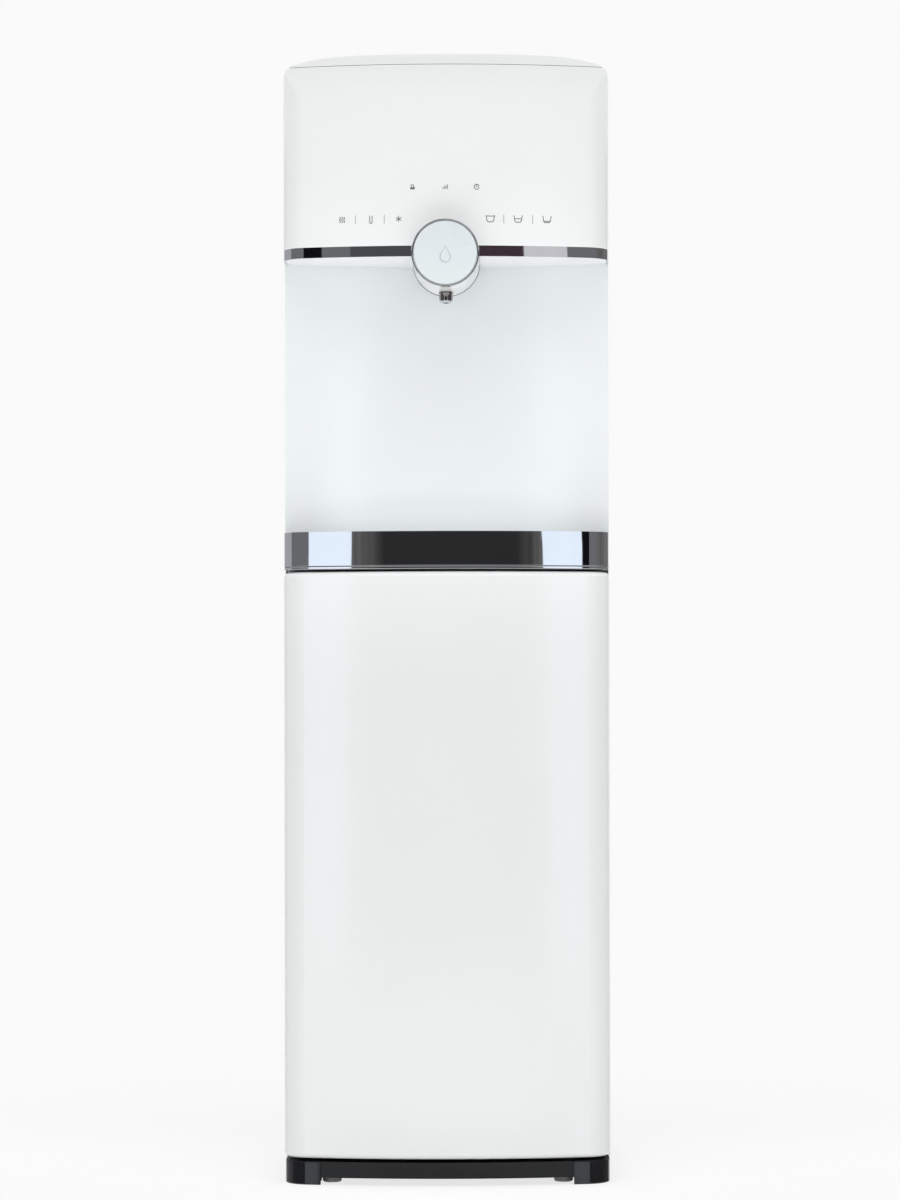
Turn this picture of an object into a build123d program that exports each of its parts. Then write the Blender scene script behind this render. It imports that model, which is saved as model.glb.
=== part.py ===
# Point-of-use water cooler: a floor-standing cabinet with a filter bay behind its door,
# an open alcove with a pull-out tray, and a rounded head with a push knob over the nozzle.
# Millimetres. +Z is up, the front faces -Y, and the origin is on the floor, in the middle
# of the outline. A depth is measured backwards from the foremost point of the head.

import os
from math import sqrt

from build123d import *

os.makedirs("parts", exist_ok=True)

# Overall sizes
width = 310.0
body_depth = 330.0
total_height = 1076.0
knob_proud = 15.0
condenser_proud = 18.0
front_y = knob_proud - (knob_proud + body_depth + condenser_proud) / 2
half_width = width / 2

# Plan of the body: a bowed front with rounded corners
bow_radius = 620.0
corner_radius = 26.0
wrap_depth = 60.0

# Levels, from the floor up
plinth_bottom = 7.0
plinth_top = 22.0
door_bottom = 25.0
head_height = 200.0
trim_height = 10.0
lid_height = 15.6
alcove_height = 259.0
band_rise = 38.0
deck_rise = 2.0
trim_bottom = total_height - head_height
trim_top = trim_bottom + trim_height
lid_seam = total_height - lid_height
band_top = trim_bottom - alcove_height
door_top = band_top - band_rise
deck_bottom = door_top + deck_rise

# Walls and clearances
moulding_wall = 3.0
sheet = 0.8
deck_sheet = 1.5
running_gap = 0.05
loose_gap = 0.4
panel_gap = 1.3
plinth_inset = 1.0
band_bottom = deck_bottom + loose_gap

# Head: rolled front top and crowned top
roll_radius = 51.0
crown_edge = 55.0
crown_half = half_width - crown_edge
crown_drop = 3.6
shoulder_drop = 16.8
crown_corner = 17.0

# Alcove back wall, an arc in plan
alcove_side_depth = 57.5
alcove_mid_depth = 86.0
alcove_radius = (half_width**2 + (alcove_mid_depth - alcove_side_depth)**2) / (
    2 * (alcove_mid_depth - alcove_side_depth))
alcove_centre_y = front_y + alcove_mid_depth - alcove_radius

# Knob and nozzle
knob_rise = 1.5
knob_height = trim_bottom + knob_rise
knob_radius = 32.0
knob_length = 78.0
bezel_width = 1.6
bezel_length = 6.0
lens_thickness = 2.6
lens_recess = 0.4
button_travel = 2.5
stem_radius = 6.0
nozzle_depth = 28.0
nozzle_radius = 6.4
nozzle_drop = 42.7
nozzle_bottom = knob_height - nozzle_drop
nozzle_bore = 3.5

# Refrigeration and tanks
tank_setback = 117.0
tank_depth = body_depth - tank_setback
cold_radius = 76.0
cold_drop = 76.0
cold_bottom = trim_bottom - cold_drop
cold_height = 210.0
coil_tube = 3.0
foam_thickness = 20.0
hot_radius = 62.0
hot_height = 150.0
compressor_radius = 58.0
compressor_height = 150.0
compressor_x = -30.0
compressor_setback = 85.0
compressor_depth = body_depth - compressor_setback
condenser_tube_radius = 2.4
wire_radius = 0.8

# Filter bay
bulkhead_depth = 160.0
cartridge_radius = 34.0
cartridge_depth = 104.0
cartridge_margin = 71.0
cartridge_pitch = half_width - cartridge_margin
cartridge_bottom = 66.0
manifold_bottom = 404.0
manifold_height = 36.0
neck_radius = 14.0
lug_reach = 17.0
lug_width = 7.0
lug_height = 4.0

# Hinge and latch
hinge_inset = 8.0
hinge_setback = 10.0
hinge_x = hinge_inset - half_width
hinge_depth = wrap_depth - hinge_setback
hinge_pin_radius = 3.0

# Feet
foot_stud_radius = 4.0
foot_pad_radius = 9.0
foot_pad_height = 5.5
foot_front_inset = 45.0
foot_front_x = half_width - foot_front_inset
foot_front_depth = 42.0
foot_rear_inset = 27.0
foot_rear_setback = 28.0
foot_rear_x = half_width - foot_rear_inset
foot_rear_depth = body_depth - foot_rear_setback

rear_inner = body_depth - sheet
shell_back = rear_inner - sheet


def level(height):
    """Horizontal plane at a height above the floor."""
    return Plane.XY.offset(height)


def upright(depth):
    """Vertical plane at a depth behind the front, facing the viewer."""
    return Plane(origin=(0, front_y + depth, 0), x_dir=(1, 0, 0), z_dir=(0, -1, 0))


def across(x):
    """Vertical plane across the body at a distance from the middle; its first axis runs backwards."""
    return Plane(origin=(x, 0, 0), x_dir=(0, 1, 0), z_dir=(1, 0, 0))


def at(x, depth, height):
    """Point at a distance from the middle, a depth behind the front and a height."""
    return (x, front_y + depth, height)


def save(builder, name):
    """Label a finished piece and write its STEP file."""
    builder.part.label = name
    export_step(builder.part, f"parts/{name}.step")


def plan(inset=0.0, back=body_depth):
    """Plan outline of the body, drawn in by an inset and closed at a depth."""
    half = half_width - inset
    bow = bow_radius - inset
    bow_centre = front_y + bow_radius
    side_y = bow_centre - sqrt(bow**2 - half**2)
    back_y = front_y + back
    with BuildSketch() as outline:
        with BuildLine():
            ThreePointArc((-half, side_y), (0, bow_centre - bow), (half, side_y))
            Polyline((half, side_y), (half, back_y), (-half, back_y), (-half, side_y))
        make_face()
        fillet(outline.vertices().group_by(Axis.Y)[0], corner_radius - inset)
    return outline.sketch


def before_alcove(gap=0.0):
    """Plan region in front of the alcove wall's face, kept clear of it by a gap."""
    with BuildSketch() as region:
        with Locations((0, alcove_centre_y)):
            Circle(alcove_radius - gap)
    return region.sketch


def crown(inset=0.0):
    """Front elevation of the head: crowned top with rounded shoulders."""
    shoulder = total_height - crown_drop
    edge = total_height - shoulder_drop
    with BuildSketch() as elevation:
        with BuildLine():
            top = ThreePointArc((-crown_half, shoulder), (0, total_height), (crown_half, shoulder))
            TangentArc((crown_half, shoulder), (half_width, edge), tangent=top % 1)
            TangentArc((-crown_half, shoulder), (-half_width, edge), tangent=-(top % 0))
            Polyline((-half_width, edge), (-half_width, 0), (half_width, 0), (half_width, edge))
        make_face()
        corners = elevation.vertices().filter_by(lambda corner: corner.Y > edge - 1)
        fillet(corners.group_by(Axis.X)[0] + corners.group_by(Axis.X)[-1], crown_corner)
        if inset:
            offset(amount=-inset, mode=Mode.REPLACE)
    return elevation.sketch


def head_form(inset, bottom, back):
    """Solid of the head: plan, rolled front top and crown together."""
    roll = roll_radius - inset
    roll_start = total_height - roll_radius
    bow_centre = front_y + bow_radius
    nose = front_y + inset
    with BuildPart() as form:
        with BuildSketch(level(bottom)):
            add(plan(inset, back))
        extrude(amount=total_height - bottom)
        with BuildSketch(Plane.YZ):
            with BuildLine():
                Line((bow_centre, 0), (nose, 0))
                Line((nose, 0), (nose, roll_start))
                JernArc((nose, roll_start), (0, 1), roll, -90)
                Line((nose + roll, roll_start + roll), (bow_centre, roll_start + roll))
                Line((bow_centre, roll_start + roll), (bow_centre, 0))
            make_face()
        revolve(axis=Axis((0, bow_centre, 0), (0, 0, 1)), mode=Mode.INTERSECT)
        with BuildSketch(upright(body_depth)):
            add(crown(inset))
        extrude(amount=2 * body_depth, mode=Mode.INTERSECT)
    return form.part


def tube(points, bends, radius, bore=0.0):
    """Round tube along straight runs joined by tangent arcs."""
    with BuildPart() as run:
        with BuildLine() as path:
            FilletPolyline(*points, radius=bends)
        with BuildSketch(Plane(origin=path.line @ 0, z_dir=path.line % 0)):
            Circle(radius)
            if bore:
                Circle(bore, mode=Mode.SUBTRACT)
        sweep()
    return run.part


# Base: the black plinth moulding, its corner shoes and the levelling feet

shoe_length = 35.5
shoe_inner_x = half_width - shoe_length
shoe_depth = 62.0
shoe_wall = 20.0
shoe_top = plinth_top - 0.8
foot_boss_radius = 8.0
foot_places = {
    "front_left": (-foot_front_x, front_y + foot_front_depth),
    "front_right": (foot_front_x, front_y + foot_front_depth),
    "rear_left": (-foot_rear_x, front_y + foot_rear_depth),
    "rear_right": (foot_rear_x, front_y + foot_rear_depth),
}
foot_boss_bottom = foot_pad_height + loose_gap
foot_stud_top = plinth_top - 1.0

with BuildSketch() as shoe_plan:
    add(plan(plinth_inset, shoe_depth))
    Rectangle(2 * shoe_inner_x, 4 * body_depth, mode=Mode.SUBTRACT)

with BuildPart() as base_tray:
    with BuildSketch(level(plinth_bottom)):
        add(plan(plinth_inset + 0.5, rear_inner))
    extrude(amount=plinth_top - plinth_bottom)
    with BuildSketch(level(plinth_bottom)):
        add(plan(plinth_inset + 0.5 + moulding_wall, rear_inner - moulding_wall))
    extrude(amount=plinth_top - plinth_bottom - moulding_wall, mode=Mode.SUBTRACT)
    with BuildSketch(level(foot_boss_bottom)):
        with Locations(*foot_places.values()):
            Circle(foot_boss_radius)
    extrude(amount=plinth_top - foot_boss_bottom)
    with BuildSketch(level(foot_boss_bottom)):
        with Locations(*foot_places.values()):
            Circle(foot_stud_radius + running_gap)
    extrude(amount=foot_stud_top + loose_gap - foot_boss_bottom, mode=Mode.SUBTRACT)
    with BuildSketch(level(0)):
        add(shoe_plan.sketch)
    extrude(amount=shoe_top, mode=Mode.SUBTRACT)
save(base_tray, "base_tray")

with BuildPart() as corner_shoes:
    with BuildSketch(level(0)):
        add(shoe_plan.sketch)
    extrude(amount=shoe_top)
    fillet(corner_shoes.edges().group_by(Axis.Z)[0], 1.2)
    with BuildSketch(level(0)):
        add(plan(plinth_inset + shoe_wall, shoe_depth - moulding_wall))
        Rectangle(2 * (shoe_inner_x + moulding_wall), 4 * body_depth, mode=Mode.SUBTRACT)
    extrude(amount=shoe_top - moulding_wall, mode=Mode.SUBTRACT)
save(corner_shoes, "corner_shoes")

for place, centre in foot_places.items():
    with BuildPart() as levelling_foot:
        with BuildSketch(level(0)):
            with Locations(centre):
                Circle(foot_pad_radius)
        extrude(amount=foot_pad_height)
        chamfer(levelling_foot.edges().group_by(Axis.Z)[0], 1.0)
        with BuildSketch(level(foot_pad_height)):
            with Locations(centre):
                Circle(foot_stud_radius)
        extrude(amount=foot_stud_top - foot_pad_height)
    save(levelling_foot, f"levelling_foot_{place}")

# Steel cabinet: side panels, rear sheets, bulkhead and decks

side_front = wrap_depth + panel_gap
flange = 12.0
tank_shelf_drop = 16.0
tank_shelf_bottom = cold_bottom - tank_shelf_drop
shelf_front = 118.0
shelf_setback = 14.0
notch_width = 57.0
notch_setback = 44.0
shelf_rear = body_depth - shelf_setback
notch_x = half_width - notch_width
notch_depth = body_depth - notch_setback
grille_top = 194.5
rear_split = 195.5
deck_top = deck_bottom + deck_sheet
bay_half = half_width - sheet

screw_inset = 6.5
screw_x = half_width - screw_inset
screw_hole_radius = 1.6
screw_margins = (34.5, 76.0)
grille_screw_margins = (24.0, 22.5)
screw_rows = 4
lowest_screw = rear_split + screw_margins[0]
screw_pitch = (trim_bottom - screw_margins[1] - lowest_screw) / (screw_rows - 1)
panel_screw_heights = [lowest_screw + row * screw_pitch for row in range(screw_rows)]
grille_screw_heights = [plinth_top + grille_screw_margins[0], grille_top - grille_screw_margins[1]]
screw_heights = panel_screw_heights + grille_screw_heights

for side, name in ((-1, "side_panel_left"), (1, "side_panel_right")):
    outer = side * half_width
    with BuildPart() as side_panel:
        with BuildSketch(level(plinth_top)):
            with BuildLine():
                Polyline(
                    (outer, front_y + side_front),
                    (outer, front_y + rear_inner),
                    (outer - side * flange, front_y + rear_inner),
                    (outer - side * flange, front_y + shell_back),
                    (outer - side * sheet, front_y + shell_back),
                    (outer - side * sheet, front_y + side_front),
                    close=True,
                )
            make_face()
        extrude(amount=trim_bottom - plinth_top)
        for height in (plinth_top, trim_bottom - sheet):
            with BuildSketch(level(height)):
                with BuildLine():
                    Polyline(
                        (outer - side * sheet, front_y + bulkhead_depth + flange),
                        (outer - side * sheet, front_y + shell_back),
                        (outer - side * flange, front_y + shell_back),
                        (outer - side * flange, front_y + bulkhead_depth + flange),
                        close=True,
                    )
                make_face()
            extrude(amount=sheet)
        with BuildSketch(upright(rear_inner)):
            with Locations(*[(side * screw_x, height) for height in screw_heights]):
                Circle(screw_hole_radius)
        extrude(amount=sheet, mode=Mode.SUBTRACT)
    save(side_panel, name)


def deck_plan(front, rear):
    """Deck between the side panels, with a notch in each rear corner for the pipes."""
    with BuildSketch() as region:
        with BuildLine():
            Polyline(
                (-bay_half, front_y + front), (bay_half, front_y + front),
                (bay_half, front_y + notch_depth), (notch_x, front_y + notch_depth),
                (notch_x, front_y + rear), (-notch_x, front_y + rear),
                (-notch_x, front_y + notch_depth), (-bay_half, front_y + notch_depth),
                close=True,
            )
        make_face()
    return region.sketch


with BuildPart() as mid_deck:
    with BuildSketch(level(deck_bottom)):
        add(plan(moulding_wall + loose_gap, side_front))
        add(deck_plan(side_front, shelf_rear))
    extrude(amount=deck_sheet)
save(mid_deck, "mid_deck")

with BuildPart() as tank_shelf:
    with BuildSketch(level(tank_shelf_bottom)):
        add(deck_plan(shelf_front, shelf_rear))
    extrude(amount=deck_sheet)
    with BuildSketch(level(tank_shelf_bottom - flange)):
        for side in (-1, 1):
            with Locations((side * (bay_half - deck_sheet / 2), front_y + (shelf_front + notch_depth) / 2)):
                Rectangle(deck_sheet, notch_depth - shelf_front)
    extrude(amount=flange)
save(tank_shelf, "tank_shelf")

hose_radius = 3.2
feed_hose_inset = 36.0
filtered_hose_inset = 49.0
feed_hose_x = feed_hose_inset - half_width
filtered_hose_x = half_width - filtered_hose_inset
hose_hole_height = 462.0

with BuildPart() as bulkhead:
    with BuildSketch(upright(bulkhead_depth + sheet)):
        with Locations((0, (plinth_top + deck_bottom) / 2)):
            Rectangle(2 * bay_half, deck_bottom - plinth_top)
        with Locations((feed_hose_x, hose_hole_height), (filtered_hose_x, hose_hole_height)):
            Circle(hose_radius + 2 * loose_gap, mode=Mode.SUBTRACT)
    extrude(amount=sheet)
save(bulkhead, "bulkhead")

# Rear interfaces: rocker switches, mains inlet, water inlet and drain

switch_drop = 45.0
switch_height = deck_bottom - switch_drop
switch_x = (-58.0, -32.0)
switch_hole = (13.0, 19.4)
inlet_x = 52.0
inlet_hole = (28.0, 20.4)
fitting_height = 262.0
fitting_inset = 63.0
fitting_x = half_width - fitting_inset
fitting_hole_radius = 8.2
condenser_rise = 25.0
condenser_low = deck_bottom + condenser_rise
pipe_inset = 38.0
condenser_end_x = half_width - pipe_inset

with BuildPart() as rear_panel:
    with BuildSketch(upright(body_depth)):
        add(crown(sheet))
        Rectangle(2 * width, 2 * rear_split, mode=Mode.SUBTRACT)
        with Locations((0, lid_seam + total_height / 2)):
            Rectangle(2 * width, total_height, mode=Mode.SUBTRACT)
        with Locations(*[(x, switch_height) for x in switch_x]):
            Rectangle(*switch_hole, mode=Mode.SUBTRACT)
        with Locations((inlet_x, switch_height)):
            Rectangle(*inlet_hole, mode=Mode.SUBTRACT)
        with Locations((-fitting_x, fitting_height), (fitting_x, fitting_height)):
            Circle(fitting_hole_radius, mode=Mode.SUBTRACT)
        with Locations((-condenser_end_x, condenser_low), (condenser_end_x, condenser_low)):
            Circle(condenser_tube_radius + 2 * loose_gap, mode=Mode.SUBTRACT)
        with Locations(*[(side * screw_x, height) for side in (-1, 1) for height in panel_screw_heights]):
            Circle(screw_hole_radius, mode=Mode.SUBTRACT)
    extrude(amount=sheet)
save(rear_panel, "rear_panel")

vent_margin = 22.0
vent_bridge = 14.0
vent_pitch_x = (width - vent_margin) / 4
vent_length = vent_pitch_x - vent_bridge
vent_height = 4.0
vent_pitch_z = 10.0
vent_rows = 13
with BuildPart() as rear_grille:
    with BuildSketch(upright(body_depth)):
        with Locations((0, (plinth_top + grille_top) / 2)):
            Rectangle(2 * (half_width - sheet), grille_top - plinth_top)
            with GridLocations(vent_pitch_x, vent_pitch_z, 4, vent_rows):
                SlotOverall(vent_length, vent_height, mode=Mode.SUBTRACT)
        with Locations(*[(side * screw_x, height) for side in (-1, 1) for height in grille_screw_heights]):
            Circle(screw_hole_radius, mode=Mode.SUBTRACT)
    extrude(amount=sheet)
save(rear_grille, "rear_grille")

# Alcove and tray

tub_floor = 5.0
tub_wall = 2.2
grille_thickness = 3.5
runner_inset = 63.0
runner_x = half_width - runner_inset
runner_width = 6.0
runner_height = 2.5
shelf_top = deck_top + moulding_wall
grille_bottom = band_top - 1.0 - grille_thickness
tub_front_inset = moulding_wall

with BuildPart() as alcove_panel:
    with BuildSketch(level(deck_top)):
        with Locations((0, alcove_centre_y)):
            Circle(alcove_radius + moulding_wall)
            Circle(alcove_radius, mode=Mode.SUBTRACT)
        with Locations((0, front_y + alcove_mid_depth)):
            Rectangle(width, 2 * (alcove_mid_depth - alcove_side_depth + moulding_wall), mode=Mode.INTERSECT)
    extrude(amount=trim_bottom - deck_top)
save(alcove_panel, "alcove_panel")

with BuildPart() as tray_shelf:
    with BuildSketch(level(deck_top)):
        add(plan(moulding_wall + 2 * loose_gap, bulkhead_depth))
        add(before_alcove(loose_gap), mode=Mode.INTERSECT)
    extrude(amount=moulding_wall)
    with BuildSketch(level(shelf_top)):
        add(plan(moulding_wall + 4 * tub_wall, bulkhead_depth))
        add(before_alcove(4 * tub_wall), mode=Mode.INTERSECT)
        with Locations((0, front_y)):
            with GridLocations(2 * runner_x, 0, 2, 1):
                Rectangle(runner_width, width, mode=Mode.INTERSECT)
    extrude(amount=runner_height)
save(tray_shelf, "tray_shelf")

band_lip = 2.2
band_groove = 0.6
with BuildPart() as tray_band:
    with BuildSketch(level(band_bottom)):
        add(plan(0, alcove_side_depth - loose_gap))
        add(plan(moulding_wall, body_depth), mode=Mode.SUBTRACT)
    extrude(amount=band_top - band_bottom)
    with BuildSketch(level(band_bottom + band_lip)):
        add(plan(0, body_depth))
        add(plan(0.5, body_depth), mode=Mode.SUBTRACT)
    extrude(amount=band_groove, mode=Mode.SUBTRACT)
save(tray_band, "tray_band")

with BuildPart() as drip_tray:
    with BuildSketch(level(shelf_top)):
        add(plan(tub_front_inset, bulkhead_depth))
        add(before_alcove(2 * loose_gap), mode=Mode.INTERSECT)
    extrude(amount=grille_bottom - shelf_top)
    with BuildSketch(level(shelf_top + tub_floor)):
        add(plan(tub_front_inset + tub_wall, bulkhead_depth))
        add(before_alcove(2 * loose_gap + tub_wall), mode=Mode.INTERSECT)
    extrude(amount=grille_bottom - shelf_top, mode=Mode.SUBTRACT)
    with BuildSketch(level(shelf_top)):
        with Locations((0, front_y + alcove_mid_depth)):
            with GridLocations(2 * runner_x, 0, 2, 1):
                Rectangle(runner_width + 2 * loose_gap, 2 * (alcove_mid_depth - 2 * tub_wall))
    extrude(amount=runner_height + loose_gap, mode=Mode.SUBTRACT)
save(drip_tray, "drip_tray")

slot_width = 3.2
slot_count = 37
slot_margin = 58.4
slot_pitch = (width - slot_margin) / slot_count
grille_rim = 9.0
with BuildPart() as drip_grille:
    with BuildSketch(level(grille_bottom)):
        add(plan(tub_front_inset + loose_gap, bulkhead_depth))
        add(before_alcove(3 * loose_gap), mode=Mode.INTERSECT)
    extrude(amount=grille_thickness)
    with BuildSketch(level(grille_bottom)):
        add(plan(tub_front_inset + grille_rim, bulkhead_depth))
        add(before_alcove(grille_rim), mode=Mode.INTERSECT)
        with Locations((0, front_y)):
            with GridLocations(slot_pitch, 0, slot_count + 1, 1):
                Rectangle(slot_pitch - slot_width, 2 * body_depth, mode=Mode.SUBTRACT)
    extrude(amount=grille_thickness, mode=Mode.SUBTRACT)
save(drip_grille, "drip_grille")

# Door, its hinges and its magnetic catch

liner_size = (
    width - 2 * moulding_wall - loose_gap,
    door_top - door_bottom - 2 * moulding_wall - loose_gap,
)
hinge_boss_radius = 5.0
hinge_boss_height = 15.0
hinge_shoulder = 1.5
hinge_plate_length = 40.0
hinge_plate_width = 30.0
strike_inset = 37.0
strike_x = half_width - strike_inset
strike_size = (44.0, 16.0)
strike_thickness = 1.0
magnet_size = (38.0, 14.0, 16.0)
grip_height = 90.0
grip_depth = 7.0
grip_middle = 330.0
door_edge_radius = 5.0
hinge_y = front_y + hinge_depth
hinge_plate_centre = (
    hinge_x + hinge_plate_width / 2 - hinge_boss_radius,
    hinge_y + hinge_plate_length / 2 - hinge_boss_radius,
)
bracket_top = plinth_top + deck_sheet

with BuildPart() as door_panel:
    with BuildSketch(level(door_bottom)):
        add(plan(0, wrap_depth))
    extrude(amount=door_top - door_bottom)
    rims = door_panel.faces().sort_by(Axis.Z)
    rim_edges = rims[0].edges() + rims[-1].edges()
    fillet(rim_edges.filter_by(lambda edge: edge.center().Y < front_y + wrap_depth - 1), door_edge_radius)
    with BuildSketch(level(door_bottom + moulding_wall)):
        add(plan(moulding_wall, body_depth))
    extrude(amount=door_top - door_bottom - 2 * moulding_wall, mode=Mode.SUBTRACT)
    with BuildSketch(level(door_bottom)):
        with Locations((hinge_x, hinge_y)):
            Circle(hinge_boss_radius)
    extrude(amount=hinge_boss_height)
    with BuildSketch(level(door_top - hinge_boss_height)):
        with Locations((hinge_x, hinge_y)):
            Circle(hinge_boss_radius)
    extrude(amount=hinge_boss_height)
    with BuildSketch(level(door_bottom)):
        with Locations((hinge_x, hinge_y)):
            Circle(hinge_pin_radius + running_gap)
    extrude(amount=door_top - door_bottom, mode=Mode.SUBTRACT)
    with BuildSketch(upright(wrap_depth)):
        with Locations((half_width, grip_middle)):
            SlotOverall(grip_height, 4 * moulding_wall, rotation=90)
    extrude(amount=grip_depth, mode=Mode.SUBTRACT)
save(door_panel, "door_panel")

with BuildPart() as door_liner:
    with BuildSketch(upright(wrap_depth)):
        with Locations((0, (door_bottom + door_top) / 2)):
            Rectangle(*liner_size)
        with Locations((half_width - moulding_wall, grip_middle)):
            Rectangle(6 * moulding_wall, grip_height + 2 * moulding_wall, mode=Mode.SUBTRACT)
    extrude(amount=moulding_wall)
    fillet(door_liner.edges().filter_by(Axis.Y), loose_gap)
    with BuildSketch(level(door_bottom)):
        with Locations((hinge_x, hinge_y)):
            Circle(hinge_boss_radius + loose_gap)
    extrude(amount=door_top - door_bottom, mode=Mode.SUBTRACT)
save(door_liner, "door_liner")

with BuildPart() as strike_plate:
    with BuildSketch(upright(wrap_depth + strike_thickness)):
        with Locations((strike_x, deck_bottom - magnet_size[2] / 2 - strike_size[1] / 2)):
            RectangleRounded(*strike_size, 2)
    extrude(amount=strike_thickness)
save(strike_plate, "strike_plate")

with BuildPart() as door_magnet:
    with BuildSketch(level(deck_bottom - magnet_size[2])):
        with Locations((strike_x, front_y + wrap_depth + strike_thickness + magnet_size[1] / 2)):
            Rectangle(magnet_size[0], magnet_size[1])
    extrude(amount=magnet_size[2])
save(door_magnet, "door_magnet")

with BuildPart() as hinge_brackets:
    for plate_bottom, pin_bottom, pin_top in (
        (plinth_top, bracket_top, door_bottom + hinge_boss_height),
        (deck_bottom - deck_sheet, door_top - hinge_boss_height, deck_bottom - deck_sheet),
    ):
        with BuildSketch(level(plate_bottom)):
            with Locations(hinge_plate_centre):
                RectangleRounded(hinge_plate_width, hinge_plate_length, 4)
        extrude(amount=deck_sheet)
        with BuildSketch(level(pin_bottom)):
            with Locations((hinge_x, hinge_y)):
                Circle(hinge_pin_radius)
        extrude(amount=pin_top - pin_bottom)
    with BuildSketch(level(bracket_top)):
        with Locations((hinge_x, hinge_y)):
            Circle(hinge_boss_radius)
    extrude(amount=hinge_shoulder)
save(hinge_brackets, "hinge_brackets")

# Head: hood, lid, chrome trim and underside

trim_wall = 2.5
lid_gap = 0.6
lid_skirt = 8.0
lid_skirt_wall = 2.4
skirt_inset = moulding_wall + loose_gap
skirt_back = shell_back - loose_gap
underside_back = alcove_mid_depth + 6.0
knob_hole = knob_radius + 0.2


def knob_cut(depth_to):
    """Cylinder around the knob's axis, from well in front of the head back to a depth."""
    with BuildPart() as cut:
        with BuildSketch(upright(depth_to)):
            with Locations((0, knob_height)):
                Circle(knob_hole)
        extrude(amount=depth_to + 2 * knob_proud)
    return cut.part


board_drop = 92.4
board_margin = 94.0
board_height = lid_seam - board_drop
board_size = (width - board_margin, 62.0)
board_depth = 18.0
board_post_radius = 3.5
board_post_inset = 12.0
board_thickness = 1.6
chip_height = 6.0
controller_size = (60.0, 24.0)
buzzer_x = 70.0
buzzer_side = 20.0

with BuildPart() as head_hood:
    add(head_form(0, trim_top, shell_back))
    add(head_form(moulding_wall, trim_top - 1, body_depth), mode=Mode.SUBTRACT)
    with BuildSketch(level(lid_seam - lid_gap)):
        Rectangle(2 * width, 2 * body_depth)
    extrude(amount=total_height - lid_seam + lid_gap, mode=Mode.SUBTRACT)
    with BuildSketch(upright(board_depth)):
        with Locations((0, board_height)):
            with GridLocations(board_size[0] - board_post_inset, board_size[1] - board_post_inset, 2, 2):
                Circle(board_post_radius)
    extrude(until=Until.NEXT)
    add(knob_cut(bulkhead_depth), mode=Mode.SUBTRACT)
save(head_hood, "head_hood")

with BuildPart() as top_cover:
    add(head_form(0, lid_seam, body_depth))
    add(head_form(moulding_wall, lid_seam - 1, body_depth - moulding_wall), mode=Mode.SUBTRACT)
    add(head_form(skirt_inset, lid_seam - lid_skirt, skirt_back))
    add(head_form(skirt_inset + lid_skirt_wall, lid_seam - lid_skirt - 1, skirt_back - lid_skirt_wall),
        mode=Mode.SUBTRACT)
save(top_cover, "top_cover")

with BuildPart() as head_trim:
    with BuildSketch(level(trim_bottom)):
        add(plan(0, shell_back))
        add(plan(trim_wall, body_depth), mode=Mode.SUBTRACT)
    extrude(amount=trim_top - trim_bottom)
    add(knob_cut(bulkhead_depth), mode=Mode.SUBTRACT)
save(head_trim, "head_trim")

with BuildPart() as head_underside:
    with BuildSketch(level(trim_bottom)):
        add(plan(trim_wall, underside_back))
    extrude(amount=moulding_wall)
    with BuildSketch(level(trim_bottom)):
        add(plan(trim_wall, underside_back))
        add(plan(trim_wall + moulding_wall, body_depth), mode=Mode.SUBTRACT)
    extrude(amount=trim_top - trim_bottom)
    add(knob_cut(knob_length - knob_proud + loose_gap), mode=Mode.SUBTRACT)
save(head_underside, "head_underside")

with BuildPart() as touch_board:
    with BuildSketch(upright(board_depth + board_thickness)):
        with Locations((0, board_height)):
            RectangleRounded(*board_size, 3)
    extrude(amount=board_thickness)
    with BuildSketch(upright(board_depth + board_thickness)):
        with Locations((0, board_height)):
            Rectangle(*controller_size)
        with Locations((buzzer_x, board_height)):
            Rectangle(buzzer_side, buzzer_side)
    extrude(amount=-chip_height)
save(touch_board, "touch_board")

# Dispenser: housing, bezel, push button and nozzle

housing_wall = 2.5
bezel_back = bezel_length - knob_proud
housing_back = knob_length - knob_proud
lens_front = lens_recess - knob_proud
lens_back = lens_front + lens_thickness
carrier_thickness = 2.5
carrier_back = lens_back + carrier_thickness
spring_pressed = 9.0
spring_length = spring_pressed + button_travel
guide_front = carrier_back + spring_length
guide_thickness = 3.0
guide_back = guide_front + guide_thickness
stem_tip = guide_back + 4.0
carrier_radius = knob_radius - housing_wall - loose_gap
lens_radius = knob_radius - bezel_width - loose_gap
nozzle_y = front_y + nozzle_depth
nozzle_neck = 5.0
neck_drop = 26.5
nozzle_neck_top = knob_height - neck_drop
flange_reach = 6.0
flange_front = 4.6

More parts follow.
